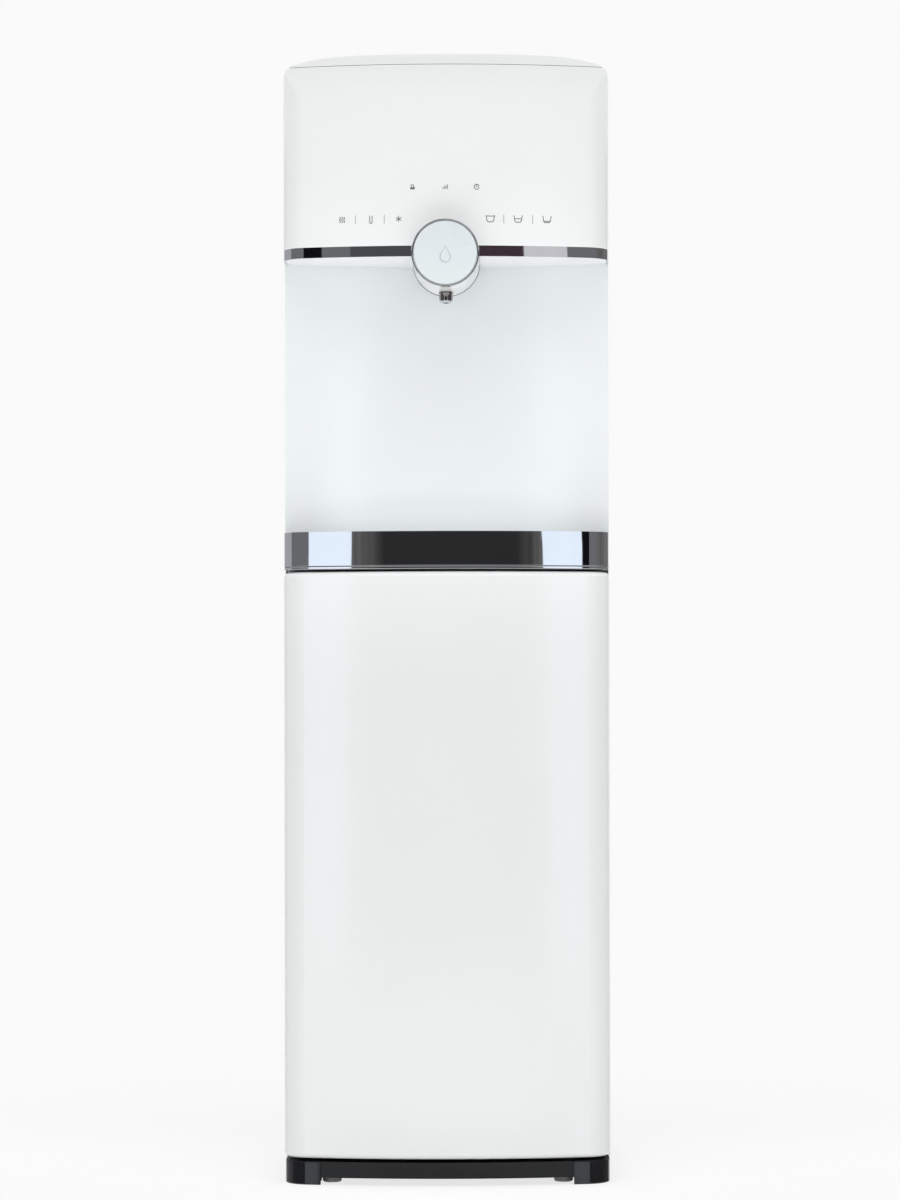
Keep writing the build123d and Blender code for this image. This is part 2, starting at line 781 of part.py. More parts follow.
with BuildPart() as dispenser_housing:
    with BuildSketch(upright(housing_back)):
        with Locations((0, knob_height)):
            Circle(knob_radius)
    extrude(amount=housing_back - bezel_back)
    fillet(dispenser_housing.edges().sort_by(Axis.Y)[-1], 1.0)
    with BuildSketch(upright(housing_back - housing_wall)):
        with Locations((0, knob_height)):
            Circle(knob_radius - housing_wall)
    extrude(amount=2 * knob_length, mode=Mode.SUBTRACT)
    with BuildSketch(upright(guide_back)):
        with Locations((0, knob_height)):
            Circle(knob_radius - housing_wall)
            Circle(stem_radius + running_gap, mode=Mode.SUBTRACT)
    extrude(amount=guide_thickness)
    with BuildSketch(upright(flange_front + housing_wall)):
        with Locations((0, knob_height)):
            Circle(knob_radius + flange_reach)
            Circle(knob_radius - housing_wall / 2, mode=Mode.SUBTRACT)
        with Locations((0, trim_top - total_height / 2)):
            Rectangle(width, total_height, mode=Mode.SUBTRACT)
    extrude(amount=housing_wall)
    with BuildSketch(level(knob_height)):
        with Locations((0, nozzle_y)):
            Circle(hose_radius + loose_gap)
    extrude(amount=2 * knob_radius, mode=Mode.SUBTRACT)
    with BuildSketch(level(knob_height - 2 * knob_radius)):
        with Locations((0, nozzle_y)):
            Circle(nozzle_neck)
    extrude(amount=2 * knob_radius, mode=Mode.SUBTRACT)
save(dispenser_housing, "dispenser_housing")

with BuildPart() as button_bezel:
    with BuildSketch(upright(bezel_back)):
        with Locations((0, knob_height)):
            Circle(knob_radius)
            Circle(knob_radius - bezel_width, mode=Mode.SUBTRACT)
    extrude(amount=bezel_length)
    fillet(button_bezel.edges().group_by(Axis.Y)[0], bezel_width / 3)
save(button_bezel, "button_bezel")

with BuildPart() as button_lens:
    with BuildSketch(upright(lens_back)):
        with Locations((0, knob_height)):
            Circle(lens_radius)
    extrude(amount=lens_thickness)
    fillet(button_lens.edges().group_by(Axis.Y)[0], 0.8)
save(button_lens, "button_lens")

with BuildPart() as button_carrier:
    with BuildSketch(upright(carrier_back)):
        with Locations((0, knob_height)):
            Circle(carrier_radius)
    extrude(amount=carrier_thickness)
    with BuildSketch(upright(stem_tip)):
        with Locations((0, knob_height)):
            Circle(stem_radius)
    extrude(amount=stem_tip - carrier_back)
save(button_carrier, "button_carrier")

spring_wire = 0.45
spring_radius = 8.5
spring_turns = 5
spring_space = spring_length - 2 * spring_wire - 0.2
with BuildPart() as button_spring:
    with BuildLine() as spring_path:
        Helix(spring_space / spring_turns, spring_space, spring_radius,
              center=(0, front_y + carrier_back + spring_wire + 0.1, knob_height), direction=(0, 1, 0))
    with BuildSketch(Plane(origin=spring_path.line @ 0, z_dir=spring_path.line % 0)):
        Circle(spring_wire)
    sweep(is_frenet=True)
save(button_spring, "button_spring")

sensor_board = (34.0, 26.0)
sensor_fork = (12.0, 4.0)
sensor_height = 5.0
with BuildPart() as button_sensor:
    with BuildSketch(upright(guide_back + board_thickness)):
        with Locations((0, knob_height)):
            RectangleRounded(*sensor_board, 3)
            Circle(stem_radius + 2 * loose_gap, mode=Mode.SUBTRACT)
    extrude(amount=board_thickness)
    with BuildSketch(upright(guide_back + board_thickness + sensor_height)):
        with Locations((0, knob_height + stem_radius + 3)):
            Rectangle(*sensor_fork)
    extrude(amount=sensor_height)
save(button_sensor, "button_sensor")

barrel_top = knob_height - knob_radius - 0.1
with BuildPart() as nozzle:
    with BuildSketch(upright(nozzle_depth)):
        with BuildLine():
            Polyline(
                (nozzle_bore, nozzle_neck_top),
                (nozzle_neck - running_gap, nozzle_neck_top),
                (nozzle_neck - running_gap, barrel_top),
                (nozzle_radius + 0.5, barrel_top),
                (nozzle_radius + 0.5, barrel_top - 1.6),
                (nozzle_radius, barrel_top - 2.1),
                (nozzle_radius, nozzle_bottom + 1.6),
                (nozzle_radius - 1.4, nozzle_bottom),
                (nozzle_bore, nozzle_bottom),
                close=True,
            )
        make_face()
    revolve(axis=Axis((0, nozzle_y, 0), (0, 0, 1)))
save(nozzle, "nozzle")

# Dispensing valves, standing on the underside moulding

valve_spacing = 60.0
valve_front = 67.0
valve_body = (22.0, 20.0, 24.0)
valve_coil_radius = 9.0
valve_coil_height = 20.0
valve_bottom = trim_bottom + moulding_wall
valve_body_bottom = valve_bottom + valve_coil_height
port_height = valve_body_bottom + 19.0
valve_depth = valve_front + valve_body[1] / 2
valve_top = valve_body_bottom + valve_body[2]
valve_y = front_y + valve_depth

with BuildPart() as dispense_valves:
    for index in (-1, 0, 1):
        with BuildSketch(level(valve_bottom)):
            with Locations((index * valve_spacing, valve_y)):
                Circle(valve_coil_radius)
        extrude(amount=valve_coil_height)
        with BuildSketch(level(valve_body_bottom)):
            with Locations((index * valve_spacing, valve_y)):
                RectangleRounded(valve_body[0], valve_body[1], 2)
        extrude(amount=valve_body[2])
save(dispense_valves, "dispense_valves")

# Cold tank with its coil and foam, hot tank below

tank_y = front_y + tank_depth
tank_wall = 1.0
neck_bore = 4.0
cold_neck_radius = 6.0
cold_top = cold_bottom + cold_height
foam_bottom = tank_shelf_bottom + deck_sheet
foam_inner = cold_radius + 2 * coil_tube + 2 * loose_gap
foam_outer = foam_inner + foam_thickness
foam_top = cold_top + 18.0
port_z = cold_bottom + 15.0

with BuildPart() as cold_tank:
    with BuildSketch(level(cold_bottom)):
        with Locations((0, tank_y)):
            Circle(cold_radius)
    extrude(amount=cold_height)
    fillet(cold_tank.edges(), 2 * tank_wall)
    with BuildSketch(level(cold_top)):
        with Locations((0, tank_y)):
            Circle(cold_neck_radius)
    extrude(amount=foam_top + 2 - cold_top)
    with BuildSketch(upright(tank_depth)):
        with Locations((0, port_z)):
            Circle(neck_bore)
    extrude(amount=foam_outer + 2)
    with BuildSketch(level(cold_bottom + tank_wall)):
        with Locations((0, tank_y)):
            Circle(cold_radius - tank_wall)
    extrude(amount=cold_height - 2 * tank_wall, mode=Mode.SUBTRACT)
    with BuildSketch(level(cold_top - 3)):
        with Locations((0, tank_y)):
            Circle(neck_bore)
    extrude(amount=foam_top, mode=Mode.SUBTRACT)
save(cold_tank, "cold_tank")

coil_pitch = 16.0
coil_turns = 8
with BuildPart() as evaporator_coil:
    with BuildLine() as coil_path:
        Helix(coil_pitch, coil_pitch * coil_turns, cold_radius + coil_tube + loose_gap,
              center=(0, tank_y, cold_bottom + 30))
    with BuildSketch(Plane(origin=coil_path.line @ 0, z_dir=coil_path.line % 0)):
        Circle(coil_tube)
    sweep(is_frenet=True)
save(evaporator_coil, "evaporator_coil")

with BuildPart() as cold_insulation:
    with BuildSketch(level(foam_bottom)):
        with Locations((0, tank_y)):
            Circle(foam_outer)
    extrude(amount=foam_top - foam_bottom)
    with BuildSketch(level(cold_bottom)):
        with Locations((0, tank_y)):
            Circle(foam_inner)
    extrude(amount=cold_height + loose_gap, mode=Mode.SUBTRACT)
    with BuildSketch(level(cold_top)):
        with Locations((0, tank_y)):
            Circle(cold_neck_radius + 2 * loose_gap)
    extrude(amount=foam_top - cold_top, mode=Mode.SUBTRACT)
    with BuildSketch(upright(tank_depth)):
        with Locations((0, port_z)):
            Circle(neck_bore + loose_gap)
    extrude(amount=foam_outer + 2, mode=Mode.SUBTRACT)
save(cold_insulation, "cold_insulation")

hot_foot = 14.0
hot_bottom = deck_top + hot_foot
hot_top = hot_bottom + hot_height
drain_z = hot_bottom + 12.0
hot_port = (-25.0, tank_depth - 33.0)
stub_length = 10.0

with BuildPart() as hot_tank:
    with BuildSketch(level(hot_bottom)):
        with Locations((0, tank_y)):
            Circle(hot_radius)
    extrude(amount=hot_height)
    fillet(hot_tank.edges(), 2 * tank_wall)
    with BuildSketch(level(deck_top)):
        with Locations((0, tank_y)):
            Circle(hot_radius - 12)
            Circle(hot_radius - 14, mode=Mode.SUBTRACT)
    extrude(amount=hot_foot)
    with BuildSketch(level(hot_top - 1)):
        with Locations(at(*hot_port, 0)):
            Circle(neck_bore)
    extrude(amount=stub_length)
    with BuildSketch(Plane(origin=(0, tank_y, drain_z), z_dir=(1, 0, 0))):
        Circle(neck_bore)
    extrude(amount=hot_radius + stub_length)
    with BuildSketch(level(hot_bottom + tank_wall)):
        with Locations((0, tank_y)):
            Circle(hot_radius - tank_wall)
    extrude(amount=hot_height - 2 * tank_wall, mode=Mode.SUBTRACT)
    with BuildSketch(level(hot_top - 3)):
        with Locations(at(*hot_port, 0)):
            Circle(neck_bore - tank_wall)
    extrude(amount=2 * stub_length, mode=Mode.SUBTRACT)
save(hot_tank, "hot_tank")

# Compressor bay

mount_height = 10.0
mount_radius = 9.0
mount_hole = 4.0
mount_spacing = (130.0, 84.0)
plate_margin = 24.0
compressor_y = front_y + compressor_depth
compressor_plate = 3.0
compressor_shell = 6.0
shell_bottom = plinth_top + mount_height + compressor_plate
seam_height = shell_bottom + compressor_height * 0.45
seam_reach = 4.0
seam_half = 3.0
dome_height = 40.0
dome_start = shell_bottom + compressor_height - dome_height
dome_radius = (compressor_radius**2 + dome_height**2) / (2 * dome_height)
stub_x = 35.0
stub_top = shell_bottom + compressor_height + 8.0
line_radius = 3.0

with BuildPart() as compressor_mounts:
    with BuildSketch(level(plinth_top)):
        with Locations((compressor_x, compressor_y)):
            with GridLocations(*mount_spacing, 2, 2):
                Circle(mount_radius)
                Circle(mount_hole, mode=Mode.SUBTRACT)
    extrude(amount=mount_height)
save(compressor_mounts, "compressor_mounts")

with BuildPart() as compressor:
    with BuildSketch(level(plinth_top + mount_height)):
        with Locations((compressor_x, compressor_y)):
            RectangleRounded(mount_spacing[0] + plate_margin, mount_spacing[1] + plate_margin, 10)
            with GridLocations(*mount_spacing, 2, 2):
                Circle(mount_hole, mode=Mode.SUBTRACT)
    extrude(amount=compressor_plate)
    with BuildSketch(Plane(origin=at(compressor_x, compressor_depth, 0), x_dir=(1, 0, 0), z_dir=(0, -1, 0))):
        with BuildLine():
            RadiusArc((compressor_radius, dome_start), (0, dome_start + dome_height), -dome_radius)
            Polyline(
                (0, shell_bottom + compressor_height), (0, shell_bottom),
                (compressor_radius - 8, shell_bottom), (compressor_radius, shell_bottom + 8),
                (compressor_radius, seam_height - seam_half),
                (compressor_radius + seam_reach, seam_height - seam_half),
                (compressor_radius + seam_reach, seam_height + seam_half),
                (compressor_radius, seam_height + seam_half),
                (compressor_radius, dome_start),
            )
        make_face()
    revolve(axis=Axis((compressor_x, compressor_y, 0), (0, 0, 1)))
    with BuildSketch(level(dome_start)):
        with Locations((compressor_x - stub_x, compressor_y), (compressor_x + stub_x, compressor_y)):
            Circle(line_radius + 1)
    extrude(amount=stub_top - dome_start)
    with BuildSketch(level(shell_bottom + compressor_shell)):
        with Locations((compressor_x, compressor_y)):
            Circle(compressor_radius - compressor_shell)
    extrude(amount=dome_start - shell_bottom - compressor_shell, mode=Mode.SUBTRACT)
    with BuildSketch(level(shell_bottom + compressor_shell)):
        with Locations((compressor_x - stub_x, compressor_y)):
            Circle(line_radius - 1)
    extrude(amount=total_height, mode=Mode.SUBTRACT)
save(compressor, "compressor")

dryer_radius = 9.0
dryer_bottom = 330.0
dryer_taper = 12.0
feed_dip = 40.0
dryer_length = 90.0
outer_pipe_inset = 17.0
right_pipe_setback = 24.0
left_pipe_setback = 26.0
liquid_line = (half_width - pipe_inset, body_depth - right_pipe_setback)
feed_line = (half_width - outer_pipe_inset, body_depth - right_pipe_setback)
suction_line = (outer_pipe_inset - half_width, body_depth - left_pipe_setback)
discharge_line = (pipe_inset - half_width, body_depth - left_pipe_setback)
line_end_depth = rear_inner - 4.0
line_rise = 32.0
suction_step = 8.0
line_turn_height = stub_top + line_rise
line_bend = 8.0
feed_drop = 120.0
suction_drop = 150.0
feed_height = cold_top - feed_drop
suction_height = cold_top - suction_drop
foam_reach = foam_outer + loose_gap


def foam_side(x, depth):
    """Unit direction in plan from the tank axis to a pipe, to end the pipe on the foam."""
    reach = sqrt(x**2 + (depth - tank_depth)**2)
    return x / reach, (depth - tank_depth) / reach


with BuildPart() as filter_dryer:
    with BuildSketch(upright(liquid_line[1])):
        with BuildLine():
            Polyline(
                (liquid_line[0], dryer_bottom), (liquid_line[0] + line_radius, dryer_bottom),
                (liquid_line[0] + dryer_radius, dryer_bottom + dryer_taper),
                (liquid_line[0] + dryer_radius, dryer_bottom + dryer_length - dryer_taper),
                (liquid_line[0] + line_radius, dryer_bottom + dryer_length),
                (liquid_line[0], dryer_bottom + dryer_length),
                close=True,
            )
        make_face()
    revolve(axis=Axis(at(liquid_line[0], liquid_line[1], 0), (0, 0, 1)))
save(filter_dryer, "filter_dryer")

feed_side = foam_side(*feed_line)
suction_side = foam_side(*suction_line)
with BuildPart() as refrigerant_lines:
    add(tube([
        at(compressor_x + stub_x, compressor_depth, stub_top),
        at(compressor_x + stub_x, compressor_depth, line_turn_height),
        at(discharge_line[0], discharge_line[1], line_turn_height),
        at(discharge_line[0], discharge_line[1], condenser_low),
        at(-condenser_end_x, line_end_depth, condenser_low),
    ], line_bend, condenser_tube_radius))
    add(tube([
        at(condenser_end_x, line_end_depth, condenser_low),
        at(liquid_line[0], liquid_line[1], condenser_low),
        at(liquid_line[0], liquid_line[1], dryer_bottom + dryer_length),
    ], line_bend, condenser_tube_radius))
    add(tube([
        at(liquid_line[0], liquid_line[1], dryer_bottom),
        at(liquid_line[0], liquid_line[1], dryer_bottom - feed_dip),
        at(feed_line[0], feed_line[1], dryer_bottom - feed_dip),
        at(feed_line[0], feed_line[1], feed_height),
        at(foam_reach * feed_side[0], tank_depth + foam_reach * feed_side[1], feed_height),
    ], line_bend, condenser_tube_radius))
    add(tube([
        at(foam_reach * suction_side[0], tank_depth + foam_reach * suction_side[1], suction_height),
        at(suction_line[0], suction_line[1], suction_height),
        at(suction_line[0], suction_line[1], line_turn_height - suction_step),
        at(compressor_x - stub_x, compressor_depth, line_turn_height - suction_step),
        at(compressor_x - stub_x, compressor_depth, stub_top),
    ], line_bend, line_radius))
save(refrigerant_lines, "refrigerant_lines")

# Condenser on the back

condenser_rows = 9
first_row = 20.0
condenser_drop = 58.0
row_pitch = (total_height - condenser_drop - condenser_low - first_row) / (condenser_rows - 1)
bend_radius = row_pitch / 2 - 0.01
run_inset = 63.0
run_x = half_width - run_inset
wire_count = 25
wire_overhang = 18.4
wire_pitch = 2 * (run_x + wire_overhang) / (wire_count - 1)
condenser_depth = body_depth + condenser_proud - 2 * wire_radius - condenser_tube_radius
condenser_high = condenser_low + first_row + (condenser_rows - 1) * row_pitch
tube_points = [
    at(-condenser_end_x, line_end_depth, condenser_low),
    at(-condenser_end_x, condenser_depth, condenser_low),
    at(-condenser_end_x, condenser_depth, condenser_low + first_row),
]
for row in range(condenser_rows):
    side = 1 if row % 2 == 0 else -1
    height = condenser_low + first_row + row * row_pitch
    if row:
        tube_points.append(at(-side * run_x, condenser_depth, height))
    if row < condenser_rows - 1:
        tube_points.append(at(side * run_x, condenser_depth, height))
tube_points += [
    at(condenser_end_x, condenser_depth, condenser_high),
    at(condenser_end_x, condenser_depth, condenser_low),
    at(condenser_end_x, line_end_depth, condenser_low),
]
tube_bends = [line_bend - 1] * 2 + [bend_radius] * (len(tube_points) - 6) + [line_bend - 1] * 2

with BuildPart() as condenser_tube:
    add(tube(tube_points, tube_bends, condenser_tube_radius))
save(condenser_tube, "condenser_tube")

wire_low = condenser_low + 10.0
wire_high = condenser_high + 10.0
wire_reach = condenser_tube_radius + wire_radius
tab_size = (12.0, 20.0)
tab_depth = condenser_depth - wire_reach - wire_radius - body_depth
with BuildPart() as condenser_wires:
    for depth in (condenser_depth - wire_reach, condenser_depth + wire_reach):
        with BuildSketch(level(wire_low)):
            with Locations((0, front_y + depth)):
                with GridLocations(wire_pitch, 0, wire_count, 1):
                    Circle(wire_radius)
        extrude(amount=wire_high - wire_low)
    with BuildSketch(upright(body_depth + tab_depth + wire_radius)):
        with Locations((0, (wire_low + wire_high) / 2)):
            with GridLocations(2 * run_x + tab_size[0], wire_high - wire_low - tab_size[1], 2, 2):
                Rectangle(*tab_size)
    extrude(amount=tab_depth + wire_radius)
save(condenser_wires, "condenser_wires")

# Filter bay: manifold on the bulkhead and three quarter-turn cartridges

manifold_front = 72.0
manifold_top = manifold_bottom + manifold_height
groove_bottom = manifold_bottom + 6.0
bore_depth = 24.0
cartridge_y = front_y + cartridge_depth
port_depth = 120.0
cartridge_places = {"sediment": -cartridge_pitch, "carbon": 0.0, "membrane": cartridge_pitch}
manifold_half = cartridge_pitch + cartridge_radius + 10.0

with BuildPart() as filter_manifold:
    with BuildSketch(level(manifold_bottom)):
        with BuildLine():
            Polyline(
                (-manifold_half, front_y + manifold_front), (manifold_half, front_y + manifold_front),
                (manifold_half, front_y + bulkhead_depth), (-manifold_half, front_y + bulkhead_depth),
                close=True,
            )
        make_face()
    extrude(amount=manifold_height)
    fillet(filter_manifold.edges().filter_by(Axis.Z), 4)
    for x in cartridge_places.values():
        with BuildSketch(level(manifold_bottom)):
            with Locations((x, cartridge_y)):
                Circle(neck_radius + running_gap)
        extrude(amount=bore_depth, mode=Mode.SUBTRACT)
        with BuildSketch(level(manifold_bottom)):
            with Locations((x, cartridge_y)):
                Rectangle(lug_width + 2 * loose_gap, 2 * (lug_reach + loose_gap))
        extrude(amount=groove_bottom + lug_height + loose_gap - manifold_bottom, mode=Mode.SUBTRACT)
        with BuildSketch(level(groove_bottom)):
            with Locations((x, cartridge_y)):
                Circle(lug_reach + loose_gap)
        extrude(amount=lug_height + loose_gap, mode=Mode.SUBTRACT)
save(filter_manifold, "filter_manifold")

cartridge_shoulder = 14.0
flute_count = 12
flute_radius = 3.5
flute_length = 40.0
for place, x in cartridge_places.items():
    with BuildPart() as cartridge:
        with BuildSketch(level(cartridge_bottom)):
            with Locations((x, cartridge_y)):
                Circle(cartridge_radius)
        extrude(amount=manifold_bottom - cartridge_bottom)
        fillet(cartridge.edges().group_by(Axis.Z)[0], 10)
        chamfer(cartridge.edges().group_by(Axis.Z)[-1], cartridge_shoulder, cartridge_shoulder)
        with BuildSketch(level(manifold_bottom)):
            with Locations((x, cartridge_y)):
                Circle(neck_radius)
        extrude(amount=bore_depth - loose_gap)
        with BuildSketch(level(groove_bottom)):
            with Locations((x, cartridge_y)):
                Circle(lug_reach)
                Rectangle(2 * lug_reach, lug_width, mode=Mode.INTERSECT)
        extrude(amount=lug_height)
        with BuildSketch(level(cartridge_bottom)):
            with Locations((x, cartridge_y)):
                with PolarLocations(cartridge_radius + 1.5, flute_count):
                    Circle(flute_radius)
        extrude(amount=flute_length, mode=Mode.SUBTRACT)
    save(cartridge, f"filter_cartridge_{place}")

# Control box under the middle deck

box_margin = 130.0
box_size = (width - box_margin, 84.0)
box_height = 92.0
box_setback = 94.0
box_depth = body_depth - box_setback
box_wall = 2.0
relay_size = (26.0, 14.0)
relay_pitch = 40.0
box_y = front_y + box_depth

with BuildPart() as control_box:
    with BuildSketch(level(deck_bottom - box_height)):
        with Locations((0, box_y)):
            RectangleRounded(*box_size, 5)
    extrude(amount=box_height)
    with BuildSketch(level(deck_bottom - box_height + box_wall)):
        with Locations((0, box_y)):
            Rectangle(box_size[0] - 2 * box_wall, box_size[1] - 2 * box_wall)
    extrude(amount=box_height, mode=Mode.SUBTRACT)
    with BuildSketch(level(deck_bottom - box_height + box_wall)):
        with Locations((0, box_y)):
            Rectangle(box_size[0] - 20, board_thickness)
            with GridLocations(relay_pitch, 0, 4, 1):
                Rectangle(*relay_size)
    extrude(amount=box_height - 20)
save(control_box, "control_box")

# Rear rocker switches, mains inlet, fittings and drain cap

bezel_thickness = 2.0
switch_depth = 18.0
rocker_width = 10.0
rocker_half = 7.8
rocker_reach = 5.6
rocker_tilt = 8.0
pivot_depth = body_depth + bezel_thickness - 6.0
pivot_radius = 1.0
pivot_reach = 0.9
pocket = (rocker_width + 2 * loose_gap, 2 * rocker_half + 2.0)

with BuildPart() as switch_bodies:
    for x in switch_x:
        with BuildSketch(upright(body_depth + bezel_thickness)):
            with Locations((x, switch_height)):
                RectangleRounded(switch_hole[0] + 3, switch_hole[1] + 3, 1.5)
        extrude(amount=bezel_thickness)
        with BuildSketch(upright(body_depth)):
            with Locations((x, switch_height)):
                Rectangle(switch_hole[0] - 0.2, switch_hole[1] - 0.2)
        extrude(amount=switch_depth)
        with BuildSketch(upright(body_depth + bezel_thickness)):
            with Locations((x, switch_height)):
                Rectangle(*pocket)
        extrude(amount=bezel_thickness + 10, mode=Mode.SUBTRACT)
        with BuildSketch(across(x - pocket[0] / 2 - pivot_reach)):
            with Locations((front_y + pivot_depth, switch_height)):
                Circle(pivot_radius + running_gap)
        extrude(amount=pocket[0] + 2 * pivot_reach, mode=Mode.SUBTRACT)
save(switch_bodies, "switch_bodies")

for x, name in zip(switch_x, ("hot_switch", "cold_switch")):
    with BuildPart() as rocker:
        with BuildSketch(across(x - rocker_width / 2)):
            with Locations(Location((front_y + pivot_depth, switch_height), rocker_tilt)):
                Polygon(
                    (rocker_reach, rocker_half), (rocker_reach - 1.4, 0), (rocker_reach, -rocker_half),
                    (-3.0, 1.5 - rocker_half), (-3.0, rocker_half - 1.5),
                    align=None,
                )
        extrude(amount=rocker_width)
        with BuildSketch(across(x - rocker_width / 2 - pivot_reach)):
            with Locations((front_y + pivot_depth, switch_height)):
                Circle(pivot_radius)
        extrude(amount=rocker_width + 2 * pivot_reach)
    save(rocker, name)

inlet_flange = (31.0, 24.0)
inlet_cavity = (24.6, 16.4)
inlet_body_depth = 19.0
inlet_cavity_depth = 15.0
with BuildPart() as mains_inlet:
    with BuildSketch(upright(body_depth + bezel_thickness)):
        with Locations((inlet_x, switch_height)):
            RectangleRounded(*inlet_flange, 2)
    extrude(amount=bezel_thickness)
    with BuildSketch(upright(body_depth)):
        with Locations((inlet_x, switch_height)):
            Rectangle(inlet_hole[0] - 0.2, inlet_hole[1] - 0.2)
    extrude(amount=inlet_body_depth)
    with BuildSketch(upright(body_depth + bezel_thickness)):
        with Locations((inlet_x, switch_height)):
            Rectangle(*inlet_cavity)
    extrude(amount=inlet_cavity_depth, mode=Mode.SUBTRACT)
    with BuildSketch(upright(body_depth - 3)):
        with Locations(
            (inlet_x - 7, switch_height - 2), (inlet_x + 7, switch_height - 2), (inlet_x, switch_height + 2),
        ):
            Rectangle(2, 4)
    extrude(amount=inlet_cavity_depth - bezel_thickness)
save(mains_inlet, "mains_inlet")

fitting_radius = 8.0
fitting_reach = 14.0
fitting_inside = 13.0
nut_radius = 11.0
nut_thickness = 4.0
push_fit_radius = 3.2
push_fit_depth = 16.0
drain_bore = 4.0

with BuildPart() as rear_fittings:
    for x, bore in ((-fitting_x, push_fit_radius), (fitting_x, drain_bore)):
        with BuildSketch(upright(body_depth + fitting_reach)):
            with Locations((x, fitting_height)):
                Circle(fitting_radius)
        extrude(amount=fitting_reach + fitting_inside)
        with BuildSketch(upright(body_depth + nut_thickness)):
            with Locations((x, fitting_height)):
                RegularPolygon(nut_radius, 6)
        extrude(amount=nut_thickness)
        with BuildSketch(upright(rear_inner)):
            with Locations((x, fitting_height)):
                RegularPolygon(nut_radius, 6)
        extrude(amount=nut_thickness)
        with BuildSketch(upright(body_depth + fitting_reach)):
            with Locations((x, fitting_height)):
                Circle(bore)
        extrude(amount=push_fit_depth, mode=Mode.SUBTRACT)
save(rear_fittings, "rear_fittings")

cap_radius = 11.5
cap_start = body_depth + nut_thickness + loose_gap
cap_end = body_depth + fitting_reach + 2.6
with BuildPart() as drain_cap:
    with BuildSketch(upright(cap_end)):
        with Locations((fitting_x, fitting_height)):
            Circle(cap_radius)
            with PolarLocations(cap_radius + 0.6, 10):
                Circle(1.6, mode=Mode.SUBTRACT)
    extrude(amount=cap_end - cap_start)
    with BuildSketch(upright(body_depth + fitting_reach + loose_gap)):
        with Locations((fitting_x, fitting_height)):
            Circle(fitting_radius + running_gap)
    extrude(amount=fitting_reach, mode=Mode.SUBTRACT)
save(drain_cap, "drain_cap")

# Water hoses

tight_bend = 4.0
drain_inset = 29.0
drain_setback = 40.0
feed_setback = 45.0
filtered_setback = 38.0
drain_column = (half_width - drain_inset, body_depth - drain_setback)
feed_depth = body_depth - feed_setback
filtered_depth = body_depth - filtered_setback
over_tank = foam_top + 14.0
front_column = 104.0
cold_column = 99.0
outlet_depth = valve_front - 14.0
hose_rise = 16.0

with BuildPart() as water_hoses:
    add(tube([
        at(-fitting_x, body_depth - fitting_inside, fitting_height),
        at(-fitting_x, feed_depth, fitting_height),
        at(feed_hose_x, feed_depth, fitting_height),
        at(feed_hose_x, feed_depth, hose_hole_height),
        at(feed_hose_x, port_depth, hose_hole_height),
        at(feed_hose_x, port_depth, manifold_top),
    ], line_bend, hose_radius))
    add(tube([
        at(filtered_hose_x, port_depth, manifold_top),
        at(filtered_hose_x, port_depth, hose_hole_height),
        at(filtered_hose_x, filtered_depth, hose_hole_height),
        at(filtered_hose_x, filtered_depth, over_tank + 2),
        at(0, tank_depth, over_tank + 2),
        at(0, tank_depth, foam_top + 2),
    ], line_bend, hose_radius))
    add(tube([
        at(hot_radius + stub_length, tank_depth, drain_z),
        at(drain_column[0], tank_depth, drain_z),
        at(drain_column[0], drain_column[1], drain_z),
        at(drain_column[0], drain_column[1], fitting_height),
        at(fitting_x, drain_column[1], fitting_height),
        at(fitting_x, body_depth - fitting_inside, fitting_height),
    ], line_bend, hose_radius))
    add(tube([
        at(hot_port[0], hot_port[1], hot_top + stub_length - 1),
        at(hot_port[0], hot_port[1], hot_top + stub_length + 12),
        at(-valve_spacing, front_column, hot_top + stub_length + 12),
        at(-valve_spacing, front_column, valve_top + hose_rise),
        at(-valve_spacing, valve_depth, valve_top + hose_rise),
        at(-valve_spacing, valve_depth, valve_top),
    ], line_bend, hose_radius))
    add(tube([
        at(0, tank_depth - foam_outer - 2, port_z),
        at(0, cold_column, port_z),
        at(valve_spacing, cold_column, port_z),
        at(valve_spacing, cold_column, valve_top + hose_rise),
        at(valve_spacing, valve_depth, valve_top + hose_rise),
        at(valve_spacing, valve_depth, valve_top),
    ], tight_bend, hose_radius))
    add(tube([
        at(-valve_spacing, valve_front, port_height),
        at(-valve_spacing, outlet_depth, port_height),
        at(valve_spacing, outlet_depth, port_height),
        at(valve_spacing, valve_front, port_height),
    ], tight_bend, hose_radius))
    add(tube([
        at(0, valve_front, port_height),
        at(0, nozzle_depth, port_height),
        at(0, nozzle_depth, nozzle_neck_top),
    ], line_bend, hose_radius))
save(water_hoses, "water_hoses")

screw_head_radius = 3.6
screw_head_height = 2.0
screw_length = 8.0
screw_radius = 1.5
with BuildPart() as screws:
    with BuildSketch(upright(body_depth + screw_head_height)):
        with Locations(*[(side * screw_x, height) for side in (-1, 1) for height in screw_heights]):
            Circle(screw_head_radius)
    extrude(amount=screw_head_height)
    fillet(screws.edges().group_by(Axis.Y)[-1], 1.2)
    with BuildSketch(upright(body_depth)):
        with Locations(*[(side * screw_x, height) for side in (-1, 1) for height in screw_heights]):
            Circle(screw_radius)
    extrude(amount=screw_length)
save(screws, "screws")
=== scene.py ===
# %% [markdown]
# # A plumbed water cooler
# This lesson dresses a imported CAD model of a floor-standing water cooler in Blender.
# The CAD model arrives as a fixed frame: every part already stands where it belongs, in metres.
# The cells below give each part the finish of the real one, and add the small parts that CAD leaves
# plain: printed signs, screws, wires and trim.

# %% Load the frame
from math import asin, cos, pi, radians, sin, sqrt

